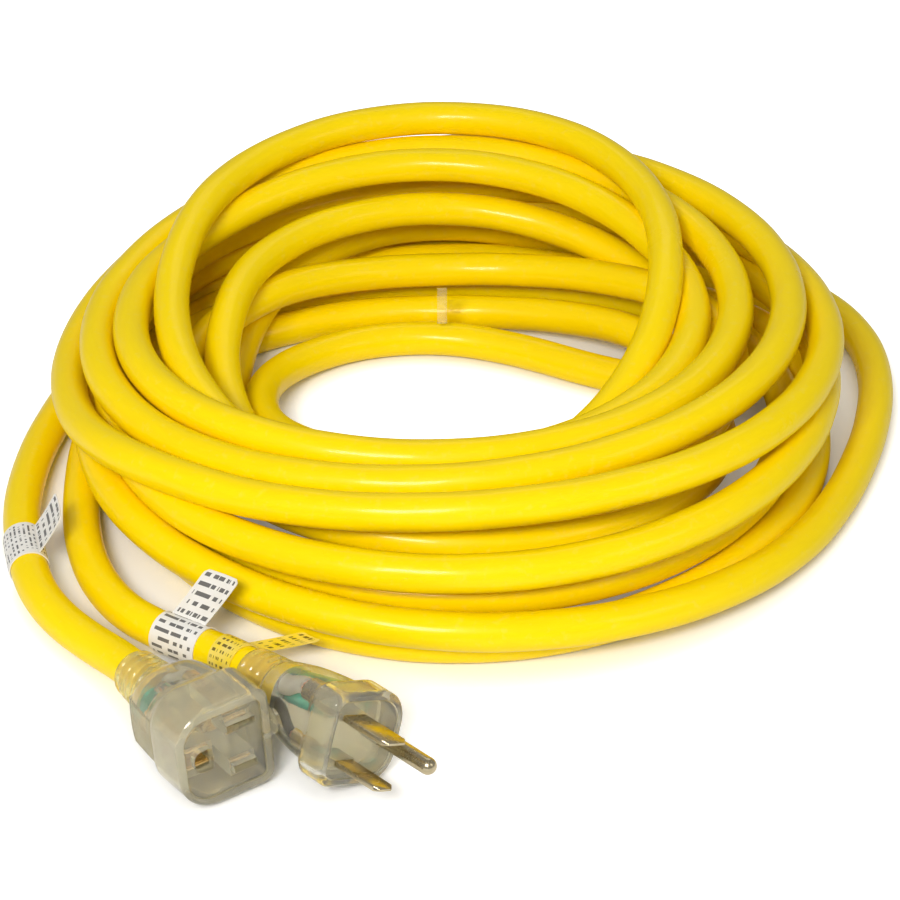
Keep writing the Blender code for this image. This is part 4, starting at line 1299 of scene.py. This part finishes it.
    def route(self, connector: np.ndarray, plug: np.ndarray) -> tuple[np.ndarray, np.ndarray]:
        """Lays the route before it is relaxed.

        Args:
            connector: Points through the connector's end of the cord, in metres from the coil's centre.
            plug: The same for the plug's end.

        Returns:
            The route in metres, and how firmly each of its points is held, from 0 to 1.
        """
        first, fold, second = self._halves()
        lead = smooth_line([*(connector / MM), *self.connector_lead])
        other = smooth_line([*(plug / MM), *self.plug_lead])
        rough = np.vstack([lead, first[2:], fold, second[2:][::-1], other[::-1]]) * MM
        step = self.diameter / 2
        path = resample(smooth_line(resample(rough, 12 * MM), 3), step)
        for _ in range(6):
            path[1:-1] += 0.25 * (path[:-2] - 2 * path[1:-1] + path[2:])
        held = np.full(len(path), self.hold)
        lead_length = gaps(lead).sum() * MM
        other_length = gaps(other).sum() * MM
        held[: int(lead_length / step) - 3] = 1.0
        held[-int(other_length / step) + 3 :] = 1.0
        exact = resample(lead * MM, step)[: int(lead_length / step) - 3]
        path[: len(exact)] = exact
        exact = resample(other * MM, step)[: int(other_length / step) - 3]
        path[-len(exact) :] = exact[::-1]
        radius = np.linalg.norm(path[:, :2], axis=1)
        low = path[:, 2] < 8 * MM
        held[(radius > 140 * MM) & low & (held < 1)] = self.loop_hold
        return path, held

    def relax(self, path: np.ndarray, held: np.ndarray, rounds: int = 560) -> np.ndarray:
        """Settles the strands: each pushes the others off, bends as little as it can and sinks."""
        wide = self.diameter
        aim, count = path.copy(), len(path)
        rest = float(gaps(path).mean())
        near = int(math.ceil(2.2 * wide / rest))
        free = (held < 1.0)[:, None]
        firm = np.where(held < 1.0, held, 0.0)[:, None]
        first = second = np.zeros(0, int)
        for step in range(rounds):
            if step % 15 == 0:
                pairs = []
                for start in range(0, count, 256):
                    apart = ((path[start : start + 256, None, :] - path[None, :, :]) ** 2).sum(2)
                    i, j = np.nonzero(apart < (1.6 * wide) ** 2)
                    keep = j > i + start + near
                    pairs.append((i[keep] + start, j[keep]))
                first = np.concatenate([pair[0] for pair in pairs])
                second = np.concatenate([pair[1] for pair in pairs])
            path = path + free * (firm * (aim - path) - np.array((0.0, 0.0, self.sink)))
            for _ in range(2):
                way = path[second] - path[first]
                apart = np.linalg.norm(way, axis=1) + 1e-12
                hit = apart < wide
                push = (0.5 * (wide - apart[hit]) / apart[hit])[:, None] * way[hit]
                moved, hits = np.zeros_like(path), np.zeros(count)
                np.add.at(moved, first[hit], -push)
                np.add.at(moved, second[hit], push)
                np.add.at(hits, first[hit], 1)
                np.add.at(hits, second[hit], 1)
                path = path + free * moved / np.maximum(1, hits * 0.6)[:, None]
            path[:, 2] = np.maximum(path[:, 2], wide / 2)
            for stride, strength in ((4, 0.22 if step < rounds - 60 else 0.05), (2, 0.22), (1, 0.25)):
                sag = np.zeros_like(path)
                sag[stride:-stride] = 0.5 * (path[: -2 * stride] + path[2 * stride :]) - path[stride:-stride]
                bend = np.zeros_like(path)
                inside = slice(2 * stride, -2 * stride)
                around = 0.5 * (sag[stride : -3 * stride] + sag[3 * stride : -stride])
                bend[inside] = sag[inside] - around
                path = path + free * strength * bend
            for odd in (0, 1):
                i = np.arange(odd, count - 1, 2)
                way = path[i + 1] - path[i]
                apart = np.linalg.norm(way, axis=1) + 1e-12
                shift = (0.5 * (apart - rest) / apart)[:, None] * way
                path[i] += shift
                path[i + 1] -= shift
            path = np.where(free, path, aim)
        return path

    def build(self, maker: Maker, ends: tuple[Matrix, Matrix], starts: tuple[float, float]):
        """Builds the cord from its ends' frames and jacket starts, and returns it with its centreline."""
        inside = []
        for matrix, start in zip(ends, starts):
            ahead = [Vector((0, start + further * MM, 0)) for further in (0, 6, 12, 18, 22)]
            inside.append(np.array([tuple(matrix @ place - self.centre) for place in ahead]))
        path, held = self.route(*inside)
        path = self.relax(path, held)
        fine = resample(smooth_line(path, 4), 3.1 * MM) + np.array(self.centre)
        for _ in range(2):
            fine[1:-1] += 0.25 * (fine[:-2] - 2 * fine[1:-1] + fine[2:])
        length = float(gaps(fine).sum())
        LOG.info("cord: %.2f m, up to %.1f mm high", length, (fine[:, 2].max() + self.diameter / 2) / MM)
        mesh = tube("cord", fine, self.diameter / 2, 24, (0.006, LAY_PITCH))
        gone = ["cord_coil", "connector_lead", "plug_lead", "stray_loop"]
        gone += ["connector_jacket_end", "plug_jacket_end"]
        piece = maker.finish("cord", mesh, "jacket", "jacket", gone, None, None)
        return piece, fine


# ---------------------------------------------------------------- tags


class Shape(Enum):
    """The two ways a tag is fixed: wound round the cord, or standing off it."""

    WRAP = "wrap"
    FLAG = "flag"


@dataclass(frozen=True)
class Tag:
    """One part of a tag: a wrap round the cord or a flag that stands off it."""

    name: str
    node: str
    shape: Shape
    look: str
    slot: str
    along_mm: float
    length_mm: float
    width_mm: float = 0.0
    rise: float = 0.0
    sweep: float = 0.0
    curl_mm: float = 0.0
    thickness_mm: float = 0.4

    def frame_on(self, path: np.ndarray, start: int) -> Matrix:
        """Works out a frame on the cord: Y along it, X to the coil's side.

        Args:
            path: The cord's centreline, from this tag's end.
            start: The point where the cord leaves its strain relief.

        Returns:
            The frame.
        """
        along = distances(path[start:])
        place = at(self.along_mm * MM, along, path[start:])
        i = start + int(np.searchsorted(along, self.along_mm * MM))
        way = Vector(path[i + 2] - path[i - 2]).normalized()
        side = way.cross(Vector((0, 0, 1))).normalized()
        axes = Matrix((side, way, side.cross(way))).transposed().to_4x4()
        return Matrix.Translation(Vector(place)) @ axes

    def wrap_mesh(self, path: np.ndarray, start: int, radius: float) -> Mesh:
        """Builds a band that follows the cord, with a lap along its top where its end is stuck down."""
        along = distances(path[start:])
        places = np.linspace(self.along_mm - self.length_mm / 2, self.along_mm + self.length_mm / 2, 14) * MM
        line = at(places, along, path[start:])
        tangent = np.gradient(line, axis=0)
        tangent /= np.linalg.norm(tangent, axis=1)[:, None]
        sides = 48
        vertices, faces, maps = [], [], []
        for i, (place, way) in enumerate(zip(line, tangent)):
            side = np.cross(way, (0, 0, 1.0))
            side /= np.linalg.norm(side)
            up = np.cross(side, way)
            for j in range(sides):
                angle = 2 * math.pi * j / sides
                lap = 0.12 * MM * max(0.0, 1 - abs(j - sides * 0.2) / 2.5)
                for reach in (radius + 0.12 * MM, radius + (0.12 + self.thickness_mm * 0.8) * MM + lap):
                    vertices.append(place + reach * (side * math.cos(angle) + up * math.sin(angle)))
        count = len(line)

        def index(i: int, j: int, outer: int) -> int:
            """Returns the number of a corner."""
            return (i * sides + j % sides) * 2 + outer

        for i in range(count - 1):
            for j in range(sides):
                u = [i / (count - 1), (i + 1) / (count - 1)]
                v = [3 * j / sides, 3 * (j + 1) / sides]
                quad = [(i, j), (i, j + 1), (i + 1, j + 1), (i + 1, j)]
                faces.append([index(a, b, 1) for a, b in quad])
                maps += [(u[0], v[0]), (u[0], v[1]), (u[1], v[1]), (u[1], v[0])]
                faces.append([index(a, b, 0) for a, b in (quad[0], quad[3], quad[2], quad[1])])
                maps += [(0.0, 0.0)] * 4
        for i, flip in ((0, False), (count - 1, True)):
            for j in range(sides):
                face = [index(i, j, 0), index(i, j + 1, 0), index(i, j + 1, 1), index(i, j, 1)]
                faces.append(face[::-1] if flip else face)
                maps += [(0.0, 0.0)] * 4
        return printed_mesh(self.name, vertices, faces, maps)

    def flag_mesh(self, radius: float) -> Mesh:
        """Builds the flag, with a soft curl, round corners and the print on both faces."""
        near = radius + 0.4 * MM + (0.5 if self.rise < 10 else 0.2) * MM
        length, width = self.length_mm * MM, self.width_mm * MM
        drift = length * math.tan(math.radians(self.sweep))
        columns, rows = 14, 8
        rise = math.radians(self.rise)
        vertices, faces, maps = [], [], []
        for i in range(columns + 1):
            t = i / columns
            for j in range(rows + 1):
                s = j / rows
                inset = 0.0
                if t > 0.9:
                    inset = width * 0.10 * ((t - 0.9) / 0.1) ** 2
                across = (s - 0.5) * (width - 2 * inset)
                out = near + length * t
                lift = self.curl_mm * MM * (t**2 - 0.35 * t * math.cos(math.pi * (s - 0.5)))
                for side in (-0.5, 0.5):
                    height = lift + side * self.thickness_mm * MM * 0.6
                    x = out * math.cos(rise) - height * math.sin(rise)
                    z = out * math.sin(rise) + height * math.cos(rise)
                    vertices.append((x, across + drift * t, z))

        def index(i: int, j: int, upper: int) -> int:
            """Returns the number of a corner."""
            return (i * (rows + 1) + j) * 2 + upper

        for i in range(columns):
            for j in range(rows):
                u = (i / columns, (i + 1) / columns)
                v = (j / rows, (j + 1) / rows)
                quad = [(i, j), (i + 1, j), (i + 1, j + 1), (i, j + 1)]
                spots = [(v[0], u[0]), (v[0], u[1]), (v[1], u[1]), (v[1], u[0])]
                faces.append([index(a, b, 1) for a, b in quad])
                maps += spots
                faces.append([index(a, b, 0) for a, b in quad][::-1])
                maps += spots[::-1]
        edge = [(i, 0) for i in range(columns)] + [(columns, j) for j in range(rows)]
        edge += [(i, rows) for i in range(columns, 0, -1)] + [(0, j) for j in range(rows, 0, -1)]
        for (a, b), (c, d) in zip(edge, edge[1:] + edge[:1]):
            faces.append([index(a, b, 0), index(c, d, 0), index(c, d, 1), index(a, b, 1)])
            maps += [(0.0, 0.0)] * 4
        return printed_mesh(self.name, vertices, faces, maps)

    def build(self, maker: Maker, path: np.ndarray, start: int, radius: float) -> Piece:
        """Builds this part of the tag on the centreline, which leaves its strain relief at a point."""
        if self.shape is Shape.WRAP:
            mesh = self.wrap_mesh(path, start, radius)
            return maker.finish(self.name, mesh, self.look, self.slot, [self.node], None, 40)
        mesh = self.flag_mesh(radius)
        place = self.frame_on(path, start)
        return maker.finish(self.name, mesh, self.look, self.slot, [self.node], place, 50)


def printed_mesh(name: str, vertices: list, faces: list, maps: list) -> Mesh:
    """Makes a mesh with a UV map "print" that its label's bars are laid out on."""
    mesh = bpy.data.meshes.new(name)
    mesh.from_pydata([tuple(map(float, v)) for v in vertices], [], faces)
    mesh.uv_layers.new(name="print").data.foreach_set("uv", np.array(maps, float).ravel())
    face_outwards(mesh)
    return mesh


CONNECTOR_TAGS = (
    Tag("connector_tag_band", "connector_tag_wrap", Shape.WRAP, "tag_fine", "paper_tag", 72, 16),
    Tag("connector_tag_leaf", "connector_tag_flag", Shape.FLAG, "tag", "paper_tag", 72, 13, 14, 52, 0, 1.2),
)
PLUG_TAGS = (
    Tag("plug_tag_band", "plug_tag_wrap", Shape.WRAP, "tag", "paper_tag", 26, 16),
    Tag("plug_tag_leaf", "plug_tag_flag", Shape.FLAG, "tag", "paper_tag", 26, 16, 12, 63, -30, 1.5),
    Tag("plug_label_band", "plug_label_wrap", Shape.WRAP, "label", "yellow_label", 7.5, 9),
    Tag(
        "plug_label_leaf", "plug_label_flag", Shape.FLAG, "label", "yellow_label", 7.5, 13, 7.5, 2, -42, 0.8
    ),
)


# ---------------------------------------------------------------- studio


@dataclass
class Studio:
    """Pale floor, soft lights and the camera."""

    centre: Vector
    azimuth: float = -35.0
    elevation: float = 33.2
    distance: float = 0.835
    lens: float = 105.6
    aim: tuple[float, float] = (0.001, -0.0088)

    def axes(self) -> tuple[Vector, Vector]:
        """Returns the directions to the camera's right and away from it, along the floor."""
        angle = math.radians(self.azimuth)
        return Vector((math.cos(angle), math.sin(angle), 0)), Vector((-math.sin(angle), math.cos(angle), 0))

    def place_camera(self) -> None:
        """Makes the camera and aims it at the coil."""
        right, away = self.axes()
        target = self.centre + right * self.aim[0] + away * self.aim[1]
        slope = math.radians(self.elevation)
        look = away * math.cos(slope) - Vector((0, 0, 1)) * math.sin(slope)
        data = bpy.data.cameras.new("camera")
        data.lens = self.lens
        data.sensor_width = 36.0
        data.clip_start = 0.05
        camera = put("camera", data)
        camera.location = target - look * self.distance
        camera.rotation_euler = look.to_track_quat("-Z", "Y").to_euler()
        bpy.context.scene.camera = camera

    def light(
        self, name: str, place: Point, size: tuple[float, float], power: float, colour: Colour
    ) -> None:
        """Adds a soft area light.

        Args:
            name: The light's name.
            place: Metres to the camera's right, away from it and up, from the coil's centre.
            size: Its width and height.
            power: Watts.
            colour: Its colour.
        """
        right, away = self.axes()
        data = bpy.data.lights.new(name, "AREA")
        data.shape = "RECTANGLE"
        data.size, data.size_y = size
        data.energy = power
        data.color = colour
        lamp = put(name, data)
        lamp.location = self.centre + right * place[0] + away * place[1] + Vector((0, 0, place[2]))
        lamp.rotation_euler = (self.centre - lamp.location).to_track_quat("-Z", "Y").to_euler()

    def build(self) -> None:
        """Builds the floor, the lights, the world and the camera."""
        floor = put("floor", round_box((0, 0, -0.01), (6.0, 6.0, 0.02), 0.0))
        look = Surface("floor_paper", Specular_IOR_Level=0.1, Emission_Color=(1, 1, 1, 1))
        soft = look.noise(look.place, 3.0, 2.0)
        colour = look.blend(look.math("MULTIPLY", soft, 0.15), (0.93, 0.93, 0.93), (0.90, 0.90, 0.90))
        rough = look.math("ADD", look.math("MULTIPLY", soft, 0.05), 0.75)
        # Painted light and shade: the paper glows for camera rays only, so it shows evenly white in the
        # open. Ambient occlusion paints shade on it between and under the strands.
        painted_shade_occlusion = look.add("AmbientOcclusion", samples=8)
        painted_shade_occlusion.inputs["Distance"].default_value = 0.03
        seen = look.add("LightPath").outputs["Is Camera Ray"]
        # The floor's painted light, dimmed by the painted shade of the occlusion.
        glow_with_painted_shade = look.math("MULTIPLY", look.math("POWER", painted_shade_occlusion.outputs["AO"], 2.0), seen)
        floor.data.materials.append(look.feed(Base_Color=colour, Roughness=rough, Emission_Strength=glow_with_painted_shade))
        world = bpy.data.worlds.new("studio")
        world.use_nodes = True
        world.node_tree.nodes["Background"].inputs["Color"].default_value = (1.0, 1.0, 1.0, 1.0)
        world.node_tree.nodes["Background"].inputs["Strength"].default_value = 0.32
        bpy.context.scene.world = world
        self.light("key", (-0.25, -0.95, 0.8), (0.4, 0.28), 11.0, (1.0, 0.99, 0.97))
        self.light("fill", (0.9, -0.6, 0.7), (0.5, 0.4), 1.2, (0.97, 0.98, 1.0))
        self.light("rim", (0.1, 0.8, 1.0), (0.8, 0.4), 1.2, (1.0, 1.0, 1.0))
        bpy.context.scene.view_settings.view_transform = "Standard"
        self.place_camera()


def main() -> None:
    """Builds the object's looks in order and hands them to the frame."""
    logging.basicConfig(level=logging.INFO, format="%(name)s %(message)s")
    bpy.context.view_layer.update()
    low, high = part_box("cord_coil")
    centre = Vector(((low.x + high.x) / 2, (low.y + high.y) / 2, 0.0))
    Studio(centre).build()
    maker = Maker(Palette())
    connector = Connector(EndPose("connector_face", 0.0, 7.0, 0.0))
    plug = Plug(EndPose("plug_face", 5.0, 7.0, 23.0))
    frames = (connector.pose.matrix(), plug.pose.matrix())
    starts = tuple((end.length_mm - end.stripped_mm) * MM for end in (connector, plug))
    cord = CoiledCord(centre)
    cord_piece, path = cord.build(maker, frames, starts)
    connector.build(maker)
    on_cord = plug.build(maker)
    radius = cord.diameter / 2
    for tags, line, end in ((CONNECTOR_TAGS, path, connector), (PLUG_TAGS, path[::-1], plug)):
        inside = (end.stripped_mm + NECK_GAP_MM + end.relief.length_mm) * MM
        start = int(round(inside / float(np.linalg.norm(line[1] - line[0]))))
        on_cord += [tag.build(maker, line, start, radius) for tag in tags]
    maker.dress("coil_tie", "film")


if __name__ == "__main__":
    main()
